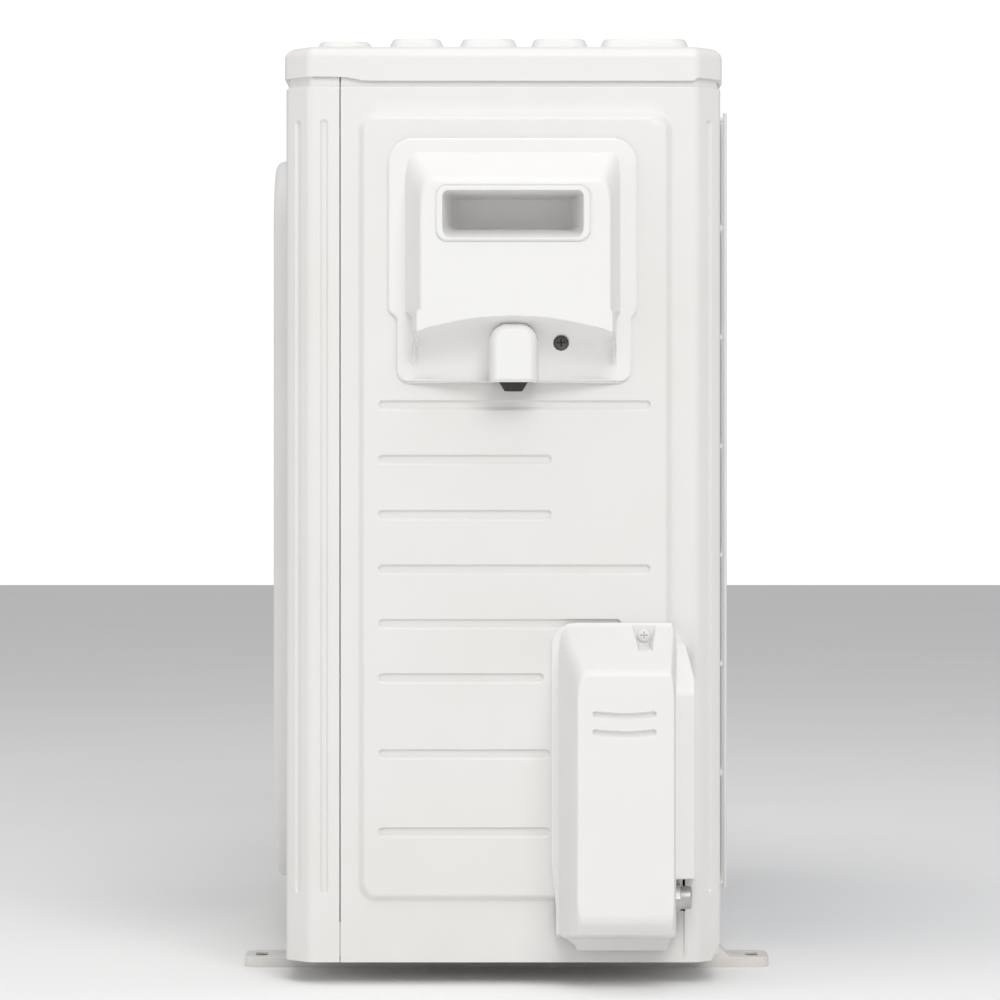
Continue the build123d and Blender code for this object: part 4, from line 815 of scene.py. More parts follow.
class OUTDOOR_OT_front_sheet(bpy.types.Operator):
    """Front sheet wrapped round both corners, with beads and the round fan opening"""

    bl_idname = "outdoor.front_sheet"
    bl_label = "Front sheet"

    def execute(self, context):
        depth = context.scene.outdoor_casing.bead_depth / MM
        corners = (
            (-SIDE_X, SEAM_FRONT_Y),
            (-SIDE_X, FRONT_Y + CORNER),
            (-SIDE_X + CORNER, FRONT_Y),
            (SIDE_X - CORNER, FRONT_Y),
            (SIDE_X, FRONT_Y + CORNER),
            (SIDE_X, SEAM_FRONT_Y),
        )
        knots = follow(corners, CORNER_ROUND, np.zeros(1))[4]
        total = knots[-1]
        # The length at which the path is at x = 0 is half the total, by symmetry
        centre = total / 2 + FAN_X
        beads = [total - (SEAM_FRONT_Y - RETURN_BEAD_Y), SEAM_FRONT_Y - RETURN_BEAD_Y]
        chamfers = [(knots[2] + knots[3]) / 2, total - (knots[2] + knots[3]) / 2]
        quarter = np.cos(np.linspace(0.0, math.pi, 61)) * FAN_HOLE_R
        fine = [(centre + v, centre + v, 1.0) for v in quarter]
        fine += [(v - 4.0, v + 4.0, 0.5) for v in beads + chamfers]
        fine += [(a - 0.2, b + 0.2, 0.9) for a, b in zip(knots[1::2], knots[2::2])]
        s = stations(0.0, total, 16.0, fine)
        rows = [(FAN_Z + v, FAN_Z + v, 1.0) for v in quarter]
        rows += [(JOGGLE_Z - 3.0, JOGGLE_Z + 2.0, 0.5)]
        rows += [(end - 4.0, end + 4.0, 0.8) for end in BEAD_Z]
        z = stations(SHEET_LOW, SHEET_HIGH, 16.0, rows)

        def relief(along, height):
            lines = [bead(along - v, height, BEAD_HALF, BEAD_Z) for v in beads + chamfers]
            return -depth * np.maximum.reduce(lines)

        points = case_sheet(corners, s, z, relief, False)
        faces = grid_faces(*points.shape[:2])
        middle_s = ((s[1:] + s[:-1]) / 2)[None, :] - centre
        middle_z = ((z[1:] + z[:-1]) / 2)[:, None] - FAN_Z
        # Each square is cut along the diagonal that lies on the circle
        falling = (middle_s * middle_z > 0).reshape(-1, 1)
        first = np.where(falling, faces[:, (0, 1, 3)], faces[:, (0, 1, 2)])
        second = np.where(falling, faces[:, (1, 2, 3)], faces[:, (0, 2, 3)])
        triangles = np.concatenate((first, second))
        grid_s = np.repeat(s[None, :], len(z), axis=0).reshape(-1)[triangles].mean(axis=1)
        grid_z = np.repeat(z[:, None], len(s), axis=1).reshape(-1)[triangles].mean(axis=1)
        open_air = np.hypot(grid_s - centre, grid_z - FAN_Z) < FAN_HOLE_R - 0.01
        piece("front_sheet", [(points.reshape(-1, 3), triangles[~open_air].tolist())], "cabinet",
              "panel_paint", ("front_panel",), SHEET_WALL)
        return {"FINISHED"}


def lid_outline():
    """Corners of the lid's outline, counter-clockwise from its front left."""
    x, cut = LID_X, LID_CORNER
    return np.array((
        (-x + cut, LID_FRONT), (x - cut, LID_FRONT), (x, LID_FRONT + cut), (x, LID_BACK - cut),
        (x - cut, LID_BACK), (-x + cut, LID_BACK), (-x, LID_BACK - cut), (-x, LID_FRONT + cut),
    ))


class OUTDOOR_OT_lid(bpy.types.Operator):
    """Top cover: ribbed plate, bevelled rim and skirt with softly rounded corners"""

    bl_idname = "outdoor.lid"
    bl_label = "Lid"

    def execute(self, context):
        height = context.scene.outdoor_casing.rib_height / MM
        corners = lid_outline()
        start = np.array([[0.0, LID_FRONT]])
        loop = np.concatenate((start, corners[1:], corners[:1], start))
        knots = follow(loop, CORNER_ROUND, np.zeros(1))[4]
        fine = [(a, b, 0.9) for a, b in zip(knots[1::2], knots[2::2])]
        s = stations(0.0, knots[-1], 12.0, fine)[:-1]
        x, y, nx, ny, _ = follow(loop, CORNER_ROUND, s)
        corner = ease(np.abs(nx * ny) * 2.0)
        bevel = np.linspace(0.0, 1.0, 7)
        inset = np.concatenate(([1.6, 0.0, 0.0, 0.0, 0.0], LID_BEVEL * (1 - np.cos(bevel * 1.25)) / 0.685))
        skirt = LID_PLATE_Z - LID_BEVEL
        rounded = skirt - LID_LOW + LID_BEVEL * np.sin(bevel * 1.25) / 0.949
        rise = np.concatenate(([0.0, 0.0, 1.0, 3.0, skirt - LID_LOW - 1.0], rounded))
        low = np.array([1.0, 1.0, 1.0, 1.0] + [0.0] * (len(rise) - 4))
        # The skirt is shorter round the front end, and at the two rear corners
        lift = np.maximum(2.4 * corner * (y > 0.0), 3.0 * ease((-98.0 - y) / 20.0))
        z = LID_LOW + rise[:, None] + lift[None, :] * low[:, None]
        # Its lip reaches in until it all but meets the stepped sheet
        inset = inset[:, None] + np.zeros_like(z)
        sides, fronts = LID_X - SIDE_X + JOGGLE, FRONT_Y - LID_FRONT + JOGGLE
        inset[0] = np.abs(nx) * sides + np.abs(ny) * fronts - LIP_GAP
        rim = np.stack((x - nx * inset, y - ny * inset, z), axis=-1)

        # The plate: rows along the lid, each as wide as the outline there
        edge_x, edge_y = x - nx * (LID_BEVEL - 0.4), y - ny * (LID_BEVEL - 0.4)
        right = np.argsort(edge_y[edge_x > 0])
        half_x = edge_x[edge_x > 0][right]
        half_y = edge_y[edge_x > 0][right]
        ends = [(a - 0.5, a + 7.0, 0.9) for a, _ in RIB_SPANS]
        ends += [(b - 7.0, b + 0.5, 0.9) for _, b in RIB_SPANS]
        front, back = half_y[0], half_y[-1]
        ends += [(front, front + 12.0, 1.2), (back - 12.0, back, 1.2)]
        rows = stations(front, back, 6.0, ends)
        u = stations(-1.0, 1.0, 0.06, ((-1.0, -0.965, 0.003), (0.965, 1.0, 0.003)))
        reach_x = np.interp(rows, half_y, half_x)
        for row, edge in ((0, front), (-1, back)):
            reach_x[row] = half_x[np.abs(half_y - edge) < 0.02].max()
        plate_x = u[None, :] * reach_x[:, None]
        plate_y = np.repeat(rows[:, None], len(u), axis=1)
        ribs = np.zeros_like(plate_x)
        for rib, share in zip(RIB_SPANS, RIB_SHARES):
            inside = depth_inside(plate_x, plate_y, (-RIB_END, RIB_END), rib, 12.0)
            ribs = np.maximum(ribs, share * ease(inside / 4.2))
        plate = np.stack((plate_x, plate_y, LID_PLATE_Z - 0.05 + height * ribs), axis=-1)
        piece("lid", [surface(rim, closed_columns=True), surface(plate)], "lid", "panel_paint",
              ("top_cover",), SHEET_WALL)
        return {"FINISHED"}


# ---------------------------------------------------------------- moulded covers


def fitted_grid(y, z, left, right):
    """Grid whose rows are trimmed to the outline: y is held between left(z) and right(z)."""
    grid_y = np.clip(y[None, :], left[:, None], right[:, None])
    return grid_y, np.repeat(z[:, None], len(y), axis=1)


def corner_inset(z, edge, radius, sign):
    """How far a rounded corner draws the outline in at height z; sign +1 for a top edge."""
    into = np.clip(radius - sign * (edge - z), 0.0, radius)
    return radius - np.sqrt(radius**2 - into**2)


def wiring_height(y, z, sizes):
    """Height of the wiring cover.

    Body: the lowest of four sloped walls and the face, creases rounded.  Under an arched
    edge the wall is a hollow whose depth follows a cube law.  A hood with round shoulders
    stands in the hollow; a ring and a scooped recess make the hand-hold.
    """
    full = WIRING_FACE - WIRING_FLANGE
    low = 1.0 - ease((z - 469.5) / 4.5)
    left = 3.0 * (y + 71.6) + low * (9.0 * (y + 66.9) - 3.0 * (y + 71.6))
    right = 4.4 * (79.7 - y) + low * (10.0 * (76.9 - y) - 4.4 * (79.7 - y))
    walls = soft_min(soft_min(left, right, 5.0), 1.556 * (585.9 - z), 34.0)
    body = soft_min(walls, full, 5.0)

    arch = 469.3 - 12.0 * ((y - 4.2) / 70.2) ** 2
    t = np.clip((z - 436.2) / (arch - 436.2), 0.0, 1.0)
    hollow = full * t**3
    cheek = soft_min(body, full * ease((z - 434.0) / 25.0), 3.0)
    in_hollow = ease((y + 64.6) / 2.2) * ease((74.9 - y) / 2.2)
    under = z < arch
    height = np.where(under, cheek + (np.minimum(hollow, cheek + 2.0) - cheek) * in_hollow, body)
    height = np.maximum(height, 0.0)

    into = depth_inside(y, z, *HOOD, 12.0)
    hood = 29.3 - 6.0 * (1.0 - np.clip(into / 5.0, 0.0, 1.0)) ** 2 + 14.0 * np.minimum(into, 0.0)
    hood -= 2.2 * ease((425.6 - z) / 1.6)
    height = soft_max(height, hood, 2.0)

    well = 5.3 - np.hypot(y - WELL[0], z - WELL[1])
    height += (-1.6 - height) * ease((well + 0.35) / 0.7)

    ring = depth_inside(y, z, *HOLD_RING, 8.0)
    height += sizes.lip_height / MM * ease(ring / 0.9) - 0.7 * ease(1.0 - np.abs(ring + 0.1) / 0.6)
    (left, right), (floor, roof) = HOLD
    inside = depth_inside(y, z, *HOLD, 5.0)
    scoop = 56.0 * np.clip((z - floor) / 11.5, 0.0, 1.0) ** 1.6
    sides = np.minimum(y - left, right - y) * 8.0
    recess = soft_min(soft_min(scoop, sides, 42.0), 26.0 * (roof - z), 8.0)
    recess = soft_min(recess, 55.0, 6.0)
    height -= np.where(inside > 0.0, np.maximum(recess, 0.0), 0.0) * ease(inside / 1.2)
    left, right = wiring_edges(z)
    edge = np.minimum.reduce((y - left, right - y, WIRING_Z[1] - z))
    return WIRING_FLANGE + height - 0.9 * (1.0 - ease(edge / 1.3)) * (z > 424.0)


def wiring_edges(z):
    """Left and right edges of the wiring cover's flange: round corners, narrower low down."""
    narrow = 1.0 - ease((z - 468.0) / 8.0)
    inset = corner_inset(z, WIRING_Z[1], 17.6, 1.0) + corner_inset(z, WIRING_LOW_EDGE, 8.0, -1.0)
    return WIRING_Y[0] + 6.1 * narrow + inset, WIRING_Y[1] - 4.0 * narrow - inset


class OUTDOOR_OT_wiring_cover(bpy.types.Operator):
    """Wiring cover with hand-hold, arched hollow, screw well and cable hood"""

    bl_idname = "outdoor.wiring_cover"
    bl_label = "Wiring cover"

    def execute(self, context):
        sizes = context.scene.outdoor_covers
        y = stations(*WIRING_Y, 3.0, (
            (-83.4, -75.0, 0.6), (-72.0, -57.0, 0.4), (-51.0, -37.0, 0.55), (-13.5, -5.0, 0.6),
            (14.0, 22.5, 0.6), (31.5, 44.5, 0.45), (45.5, 59.5, 0.55), (69.0, 80.5, 0.4), (83.0, 91.3, 0.6),
        ))
        z = stations(*WIRING_Z, 3.0, (
            (423.5, 427.5, 0.6), (427.5, 445.5, 1.2), (445.5, 475.0, 0.6), (519.5, 540.0, 0.7),
            (551.0, 561.5, 0.5), (561.5, 588.0, 1.1), (588.0, 596.0, 0.6),
        ))
        # Below the flange's lower edge only the hood's foot goes on
        low = z < WIRING_LOW_EDGE
        z = np.concatenate((z[low], (WIRING_LOW_EDGE - 0.001,), z[~low]))
        left, right = wiring_edges(z)
        left = np.where(z < WIRING_LOW_EDGE, -11.9, left)
        right = np.where(z < WIRING_LOW_EDGE, 21.0, right)
        grid_y, grid_z = fitted_grid(y, z, left, right)
        points = np.stack((wiring_height(grid_y, grid_z, sizes), grid_y, grid_z), axis=-1)
        piece("wiring_cover_shell", [surface(points)], "wiring_hatch", "cover_plastic",
              ("wiring_cover",), sizes.wall / MM)
        return {"FINISHED"}


def valve_height(y, z, sizes):
    """Height of the valve cover.

    Body and shoulder are each the lowest of their sloped walls and face, and the higher
    of the two is taken.  A tapering notch and two slots along shallow arcs are cut in.
    """
    full = VALVE_FACE - VALVE_FLANGE
    walls = soft_min(5.6 * (y - 36.5), 14.0 * (BODY_BACK_Y - y), 12.0)
    body = soft_min(walls, 2.16 * (253.0 - z), 44.0)
    underside = soft_min(6.2 * (z - 33.4), 43.5 + 1.85 * (z - 40.4), 5.0)
    body = soft_min(body, underside, 26.0)
    body = soft_min(body, full, 7.0)
    shoulder = soft_min(45.0 * (VALVE_Y[1] - y), 0.98 * (239.5 - z), 10.0)
    shoulder = soft_min(shoulder, 9.0 * (z - SHOULDER_LOW), 12.0)
    shoulder = np.where(y > 100.0, soft_min(shoulder, 29.5, 5.0), 0.0)
    height = np.maximum(soft_max(body, shoulder, 4.0), 0.0)
    half = 3.4 + np.clip(z - 239.0, 0.0, 20.0) * 0.35
    away = np.maximum(np.abs(y - 96.2) - half, 238.5 - z)
    height = np.where(away < 3.5, soft_min(height, np.maximum(0.0, 20.0 * away), 2.0), height)
    height = np.maximum(height, 0.0)
    for line in CURVED_SLOTS:
        across = np.clip(y, 60.8, 100.2)
        middle = line + 1.3 * ((across - 80.5) / 19.7) ** 2 - 0.5
        near = 2.5 - np.hypot(y - across, z - middle)
        height -= sizes.slot_depth / MM * ease(near / (1.5 - 0.8 * np.clip((z - middle) / 1.2, -1.0, 1.0)))
    sunk = 5.2 * ease((y - 115.5) / 3.5) * ease((132.0 - y) / 1.0 + 1.0)
    rim = np.minimum(y - VALVE_Y[0], VALVE_Z[1] - z)
    height = height - sunk * (height < 8.0) * (1.0 - height / 8.0)
    return VALVE_FLANGE + height - 0.9 * (1.0 - ease(rim / 1.3))


class OUTDOOR_OT_valve_cover(bpy.types.Operator):
    """Valve cover with pipe shoulder, screw notch and curved slots"""

    bl_idname = "outdoor.valve_cover"
    bl_label = "Valve cover"

    def execute(self, context):
        sizes = context.scene.outdoor_covers
        y = stations(*VALVE_Y, 3.0, (
            (31.3, 38.0, 0.6), (38.0, 52.0, 0.7), (56.5, 64.0, 0.6), (86.0, 106.5, 0.6),
            (106.5, 129.8, 0.5), (129.8, 131.0, 0.2),
        ))
        z = stations(*VALVE_Z, 4.0, (
            (25.1, 50.0, 0.9), (72.0, 84.0, 0.6), (176.0, 199.0, 0.5), (200.0, 240.0, 1.2),
            (236.0, 255.2, 0.6),
        ))
        # The shoulder starts on a level edge, between two rows a hair apart
        low = z < SHOULDER_LOW
        z = np.concatenate((z[low], (SHOULDER_LOW - 0.001, SHOULDER_LOW), z[~low]))
        left = VALVE_Y[0] + corner_inset(z, VALVE_Z[1], 17.0, 1.0) + 3.2 * (1.0 - ease((z - 50.0) / 40.0))
        left = np.maximum(left, np.minimum(38.5 + 1.4 * (35.4 - z), 48.8) * (z < 35.4))
        right = np.where(z < SHOULDER_LOW, BODY_BACK_Y - 0.43 * np.maximum(43.0 - z, 0.0), VALVE_Y[1])
        slant = VALVE_Y[1] - 0.22 * np.maximum(z - 214.0, 0.0) - 0.40 * np.maximum(z - 238.6, 0.0)
        right = np.where(z > 214.0, slant, right)
        grid_y, grid_z = fitted_grid(y, z, left, right)
        points = np.stack((valve_height(grid_y, grid_z, sizes), grid_y, grid_z), axis=-1)
        piece("valve_cover_shell", [surface(points)], "valve_hatch", "cover_plastic",
              ("valve_cover",), sizes.wall / MM)
        return {"FINISHED"}


# ---------------------------------------------------------------- air side


def ring_rods(centre, radii, rod, steps):
    """Rings of round rod in a plane across Y: a small circle carried round a large one."""
    turn = np.linspace(0.0, 2 * math.pi, steps, endpoint=False)
    round_rod = np.linspace(0.0, 2 * math.pi, 8, endpoint=False)
    made = []
    for radius in radii:
        out = radius + rod * np.cos(round_rod)[:, None]
        x = centre[0] + out * np.cos(turn)[None, :]
        z = centre[2] + out * np.sin(turn)[None, :]
        y = centre[1] + np.repeat(rod * np.sin(round_rod)[:, None], steps, axis=1)
        made.append(surface(np.stack((x, y, z), axis=-1)[:, ::-1], closed_rows=True, closed_columns=True))
    return made


def straight_rod(start, end, half_width, half_height):
    """Rod of oval section between two points, closed at both ends."""
    start, end = np.asarray(start, float), np.asarray(end, float)
    along = (end - start) / np.linalg.norm(end - start)
    side = np.cross(along, (0.0, 1.0, 0.0))
    up = np.cross(side, along)
    turn = np.linspace(0.0, 2 * math.pi, 8, endpoint=False)
    section = half_width * np.cos(turn)[:, None] * side + half_height * np.sin(turn)[:, None] * up
    sizes = np.array((0.0, 0.7, 1.0, 1.0, 0.7, 0.0))
    places = np.array((0.0, 0.0, 1.0, -1.0, 0.0, 0.0))[:, None] * along
    places[:3] += start
    places[3:] += end
    points = places[:, None, :] + sizes[:, None, None] * section[None, :, :]
    return surface(points, closed_columns=True)


def revolved(profile, centre, axis, steps=48):
    """Solid of revolution; the profile is (radius, distance along the axis) points."""
    profile = np.asarray(profile, float)
    turn = np.linspace(0.0, 2 * math.pi, steps, endpoint=False)
    first, second = {0: (1, 2), 1: (2, 0), 2: (0, 1)}[axis]
    points = np.zeros((len(profile), steps, 3))
    points[..., first] = profile[:, :1] * np.cos(turn)
    points[..., second] = profile[:, :1] * np.sin(turn)
    points[..., axis] = profile[:, 1:]
    return surface(points + np.asarray(centre, float), closed_columns=True)


class OUTDOOR_OT_guard(bpy.types.Operator):
    """Fan guard: a rounded square tray with rings, spokes and a hub disc"""

    bl_idname = "outdoor.guard"
    bl_label = "Fan guard"

    def execute(self, context):
        sizes = context.scene.outdoor_air
        half_x = (span("fan_guard", 0)[1] - span("fan_guard", 0)[0]) / 2
        half_z = (span("fan_guard", 2)[1] - span("fan_guard", 2)[0]) / 2
        corners = np.array((
            (0.0, -half_z), (half_x, -half_z), (half_x, half_z), (-half_x, half_z),
            (-half_x, -half_z), (0.0, -half_z),
        ))
        knots = follow(corners, GUARD_RADIUS, np.zeros(1))[4]
        fine = [(a, b, 4.0) for a, b in zip(knots[1::2], knots[2::2])]
        s = stations(0.0, knots[-1], 9.0, fine)[:-1]
        x, z, nx, nz, _ = follow(corners, GUARD_RADIUS, s)
        bend = np.linspace(0.0, 1.3, 6)
        inset = np.concatenate(([0.0, 0.0, 3.5], 3.5 + 7.0 * (1.0 - np.cos(bend))))
        depth = np.concatenate(([0.0, 1.5, 17.5], 17.5 + 6.8 * np.sin(bend) / math.sin(1.3)))
        sweep_x = x - nx * inset[:, None]
        sweep_z = z - nz * inset[:, None]
        sweep_y = GUARD_BACK - np.repeat(depth[:, None], len(s), axis=1)
        far = np.hypot(sweep_x[-1], sweep_z[-1])
        hole = np.stack((sweep_x[-1], sweep_z[-1])) / far * GUARD_HOLE_R
        steps = np.linspace(0.0, 1.0, 7)[1:]
        face_x = sweep_x[-1] + steps[:, None] * (hole[0] - sweep_x[-1])
        face_z = sweep_z[-1] + steps[:, None] * (hole[1] - sweep_z[-1])
        face_y = np.full_like(face_x, sweep_y[-1, 0])
        lip = np.array((1.5, 5.0))[:, None]
        x_all = np.concatenate((sweep_x, face_x, np.repeat(hole[:1], 2, axis=0) * 0.995))
        z_all = np.concatenate((sweep_z, face_z, np.repeat(hole[1:], 2, axis=0) * 0.995))
        y_all = np.concatenate((sweep_y, face_y, face_y[:2] + lip))
        points = np.stack((x_all + FAN_X, y_all, z_all + GUARD_Z), axis=-1)
        piece("guard_tray", [surface(points, closed_columns=True)], "cabinet", "guard_plastic",
              ("fan_guard",), 2.6)

        rod = sizes.rod_radius / MM
        centre = (FAN_X, GUARD_FACE + rod + 0.3, GUARD_Z)
        radii = GUARD_HOLE_R - RING_STEP * np.arange(1, RINGS + 1)
        rods = ring_rods(centre, radii, rod, sizes.ring_steps)
        for index in range(SPOKES):
            angle = 2 * math.pi * index / SPOKES
            way = np.array((math.cos(angle), 0.0, math.sin(angle)))
            middle = np.array(centre) + (0.0, 3.0, 0.0)
            ends = (middle + way * (GUARD_HUB_R - 6.0), middle + way * (GUARD_HOLE_R + 1.5))
            rods.append(straight_rod(*ends, 1.7, 2.6))
        # Radius and depth behind the guard's face
        hub = (
            (0.0, 0.5), (30.0, 0.6), (46.0, 1.4), (52.0, 2.6), (GUARD_HUB_R, 5.0), (GUARD_HUB_R, 8.0),
            (51.5, 8.0), (50.0, 4.5), (0.0, 3.2),
        )
        hub = [(radius, GUARD_FACE + depth) for radius, depth in hub]
        rods.append(revolved(hub, (FAN_X, 0.0, GUARD_Z), 1, 64))
        piece("guard_grille", rods, "cabinet", "guard_plastic")
        return {"FINISHED"}


class OUTDOOR_OT_fins(bpy.types.Operator):
    """Coil fins: thin upright plates spaced along the bent coil"""

    bl_idname = "outdoor.fins"
    bl_label = "Coil fins"

    def execute(self, context):
        sizes = context.scene.outdoor_air
        low, high = span("coil_fin_pack", 2)
        (left, right), (front, back) = span("coil_fin_pack", 0), span("coil_fin_pack", 1)
        middle_x, middle_y = left + COIL_DEPTH / 2, back - COIL_DEPTH / 2
        corners = ((right, middle_y), (middle_x, middle_y), (middle_x, front))
        total = follow(corners, COIL_BEND, np.zeros(1))[4][-1]
        count = int((total - 1.0) / (sizes.fin_pitch / MM))
        s = np.linspace(0.5, total - 0.5, count)
        x, y, nx, ny, _ = follow(corners, COIL_BEND, s)
        tx, ty = -ny, nx
        half = COIL_DEPTH / 2 - 0.15
        thick = sizes.fin_thickness / MM / 2
        across = np.array((-half, half, half, -half))
        along = np.array((-thick, -thick, thick, thick))
        px = x[:, None] + nx[:, None] * across + tx[:, None] * along
        py = y[:, None] + ny[:, None] * across + ty[:, None] * along
        bottom = np.stack((px, py, np.full_like(px, low + 0.2)), axis=-1)
        top = np.stack((px, py, np.full_like(px, high - 0.2)), axis=-1)
        points = np.concatenate((bottom, top), axis=1).reshape(-1, 3)
        sides = ((0, 1, 5, 4), (1, 2, 6, 5), (2, 3, 7, 6), (3, 0, 4, 7), (3, 2, 1, 0), (4, 5, 6, 7))
        faces = (8 * np.arange(count)[:, None, None] + np.array(sides)[None]).reshape(-1, 4)
        piece("coil_fins", [(points, faces.tolist())], "cabinet", "coil_fins", ("coil_fin_pack",),
              crease=20.0)
        return {"FINISHED"}


# ---------------------------------------------------------------- fittings


def cross_head(place, axis, sign, radius, height):
    """Pan screw head: a dome with a cross-shaped recess, on a grid of rings and spokes."""
    t = np.concatenate((np.linspace(0.0, 0.8, 13), (0.88, 0.94, 0.98, 1.0, 1.0)))
    turn = np.linspace(0.0, 2 * math.pi, 48, endpoint=False)
    a = radius * t[:, None] * np.cos(turn)
    b = radius * t[:, None] * np.sin(turn)
    dome = height * np.sqrt(np.clip(1.0 - 0.75 * t**2, 0.0, 1.0))
    dome[-1] = 0.0
    arm = np.minimum(np.abs(a), np.abs(b)) - 0.13 * radius
    length = 0.62 * radius - np.maximum(np.abs(a), np.abs(b))
    cut = ease(np.minimum(-arm, length) / (0.10 * radius))
    out = dome[:, None] - 0.6 * height * cut
    points = np.zeros((len(t), len(turn), 3))
    first, second = {0: (1, 2), 1: (2, 0)}[axis]
    points[..., first] = a
    points[..., second] = b * sign
    points[..., axis] = sign * out
    return surface(points + np.asarray(place, float), closed_columns=True)


class OUTDOOR_OT_screw_heads(bpy.types.Operator):
    """Cross-recess heads of the two cover screws and the guard screws"""

    bl_idname = "outdoor.screw_heads"
    bl_label = "Screw heads"

    def execute(self, context):
        cover_screws = (
            # The wiring screw head takes a near-black finish as painted shade for the deep well it sits in
            ("wiring_screw_head", "wiring_cover_screw", "wiring_hatch", "dark_screw", 4.8, 2.6, 2.8),
            ("valve_screw_head", "valve_cover_screw", "valve_hatch", "cover_plastic", 4.4, 2.5, 2.6),
        )
        for name, node, body, finish, radius, height, behind in cover_screws:
            middle = [sum(span(node, axis)) / 2 for axis in (1, 2)]
            head = cross_head((span(node, 0)[1] - behind, *middle), 0, 1, radius, height)
            piece(name, [head], body, "steel", (node,), finish=finish)
        heads = []
        (low_x, high_x), (low_z, high_z) = span("guard_screws", 0), span("guard_screws", 2)
        face = span("guard_screws", 1)[0] + 2.5
        for x in (low_x + 4.6, high_x - 4.6):
            for z in (low_z + 4.6, high_z - 4.6):
                heads.append(cross_head((x, face, z), 1, -1, 4.6, 2.3))
        piece("guard_screw_heads", heads, "cabinet", "steel", ("guard_screws",))
        return {"FINISHED"}


class OUTDOOR_OT_softened_nodes(bpy.types.Operator):
    """Frame nodes whose edges are rounded the way sheet, cast and moulded edges are"""

    bl_idname = "outdoor.softened_nodes"
    bl_label = "Softened nodes"

    def execute(self, context):
        edges = {
            "left_foot_rail": 0.9, "right_foot_rail": 0.9, "terminal_block": 0.5, "electrical_box": 0.3,
            "control_board": 0.2, "compressor_base": 0.8, "partition_plate": 0.3, "valve_plate": 0.6,
            "gas_flare_nut": 0.5, "liquid_flare_nut": 0.5, "gas_valve_cap": 0.5, "liquid_valve_cap": 0.5,
            "reversing_valve": 0.8, "motor_bracket": 0.3,
        }
        slots = {row["node"]: row["material_slot"] for row in frame["record"]["subparts"]}
        bodies = frame["record"]["behaviour"]["bodies"]
        owner = {node: body for body, nodes in bodies.items() for node in nodes}
        for node, width in edges.items():
            finish = "plated_nut" if node == "gas_flare_nut" else slots[node]
            softened(node, owner[node], finish, width)
        return {"FINISHED"}


# ---------------------------------------------------------------- stage


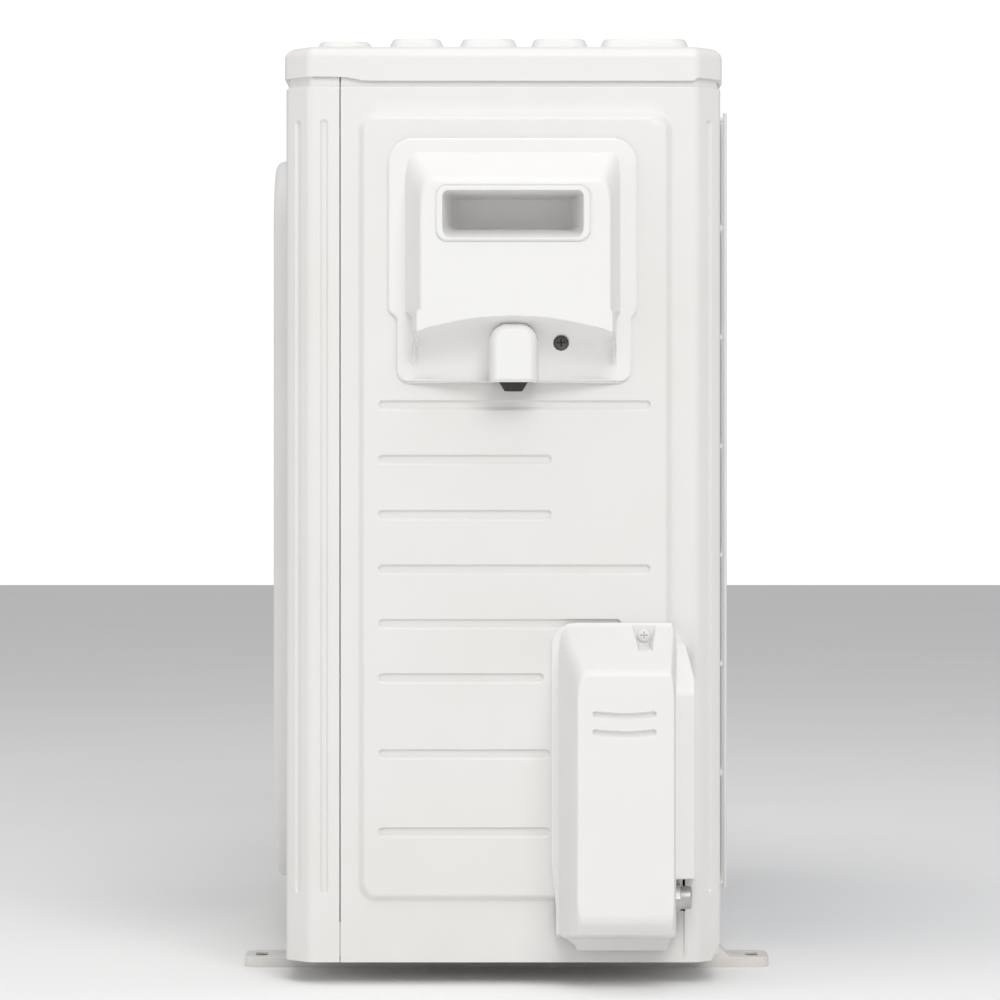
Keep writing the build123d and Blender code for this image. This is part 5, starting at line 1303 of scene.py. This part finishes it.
class OUTDOOR_OT_stage(bpy.types.Operator):
    """Camera level with the middle of the service side, pale floor and soft lights"""

    bl_idname = "outdoor.stage"
    bl_label = "Stage"

    def execute(self, context):
        scene = context.scene
        camera = bpy.data.cameras.new("camera")
        camera.lens = CAMERA_LENS
        camera.sensor_width = 36.0
        seat = bpy.data.objects.new("camera", camera)
        seat.location = (LID_X * MM + CAMERA_AWAY, CAMERA_Y, CAMERA_Z)
        seat.rotation_euler = (math.pi / 2, 0.0, math.pi / 2)
        scene.collection.objects.link(seat)
        scene.camera = seat

        plane = bpy.data.meshes.new("floor")
        size = 12.0
        corners = [(-size, -size, 0), (size, -size, 0), (size, size, 0), (-size, size, 0)]
        plane.from_pydata(corners, [], [(0, 1, 2, 3)])
        floor = bpy.data.objects.new("floor", plane)
        scene.collection.objects.link(floor)
        pale, tree, shader, where = new_finish("pale_floor", 0.9)
        shade = reach(tree, noise(tree, where, 3.0), 0.3, 0.7)
        white = tint(tree, shade, (0.98, 0.98, 0.98), (0.965, 0.965, 0.965))
        tree.links.new(white, shader.inputs["Base Color"])
        plane.materials.append(pale)

        world = bpy.data.worlds.new("studio")
        world.use_nodes = True
        nodes, links = world.node_tree.nodes, world.node_tree.links
        background = nodes["Background"]
        background.inputs["Color"].default_value = (1.0, 1.0, 1.0, 1.0)
        # The backdrop is seen white, and lights the object more softly than that
        seen = nodes.new("ShaderNodeLightPath")
        strength = nodes.new("ShaderNodeMapRange")
        strength.inputs["To Min"].default_value = 0.47
        strength.inputs["To Max"].default_value = 1.05
        links.new(seen.outputs["Is Camera Ray"], strength.inputs["Value"])
        links.new(strength.outputs["Result"], background.inputs["Strength"])
        scene.world = world
        scene.view_settings.view_transform = "Standard"

        lamps = (
            ("key", (3.4, 0.7, 2.5), (0.43, 0.0, 0.33), 1.8, 56.0),
            ("overhead", (0.8, -0.2, 3.4), (0.3, 0.0, 0.3), 2.4, 27.0),
            ("side_fill", (2.2, -3.0, 1.1), (0.43, 0.0, 0.33), 2.0, 12.0),
        )
        for name, place, target, width, power in lamps:
            light = bpy.data.lights.new(name, "AREA")
            light.size = width
            light.energy = power
            lamp = bpy.data.objects.new(name, light)
            lamp.location = place
            away = np.subtract(place, target)
            flat = math.hypot(away[0], away[1])
            lamp.rotation_euler = (math.atan2(flat, away[2]), 0.0, math.atan2(away[0], -away[1]))
            scene.collection.objects.link(lamp)
        return {"FINISHED"}


# ---------------------------------------------------------------- add-on


class OUTDOOR_PT_panel(bpy.types.Panel):
    """Sidebar panel with the settings and one button for each group of pieces"""

    bl_label = "Outdoor unit"
    bl_idname = "OUTDOOR_PT_panel"
    bl_space_type = "VIEW_3D"
    bl_region_type = "UI"
    bl_category = "Outdoor Unit"

    def draw(self, context):
        for settings in SETTINGS:
            box = self.layout.box()
            group = getattr(context.scene, settings)
            for name in type(group).__annotations__:
                box.prop(group, name)
        for operator in OPERATORS:
            self.layout.operator(operator.bl_idname)


OPERATORS = (
    OUTDOOR_OT_stage,
    OUTDOOR_OT_finishes,
    OUTDOOR_OT_side_sheet,
    OUTDOOR_OT_front_sheet,
    OUTDOOR_OT_lid,
    OUTDOOR_OT_wiring_cover,
    OUTDOOR_OT_valve_cover,
    OUTDOOR_OT_guard,
    OUTDOOR_OT_fins,
    OUTDOOR_OT_screw_heads,
    OUTDOOR_OT_softened_nodes,
)
SETTINGS = {
    "outdoor_casing": OUTDOOR_PG_casing,
    "outdoor_covers": OUTDOOR_PG_covers,
    "outdoor_air": OUTDOOR_PG_air,
    "outdoor_finish": OUTDOOR_PG_finish,
}


def register():
    """Registers the settings, operators and panel."""
    for settings in SETTINGS.values():
        bpy.utils.register_class(settings)
    for operator in OPERATORS:
        bpy.utils.register_class(operator)
    bpy.utils.register_class(OUTDOOR_PT_panel)
    for name, settings in SETTINGS.items():
        setattr(bpy.types.Scene, name, PointerProperty(type=settings))


def unregister():
    """Removes what register added."""
    for name in SETTINGS:
        delattr(bpy.types.Scene, name)
    bpy.utils.unregister_class(OUTDOOR_PT_panel)
    for operator in reversed(OPERATORS):
        bpy.utils.unregister_class(operator)
    for settings in reversed(list(SETTINGS.values())):
        bpy.utils.unregister_class(settings)


def main():
    """Builds every piece in order."""
    register()
    for operator in OPERATORS:
        group, name = operator.bl_idname.split(".")
        getattr(getattr(bpy.ops, group), name)()


if __name__ == "__main__":
    main()
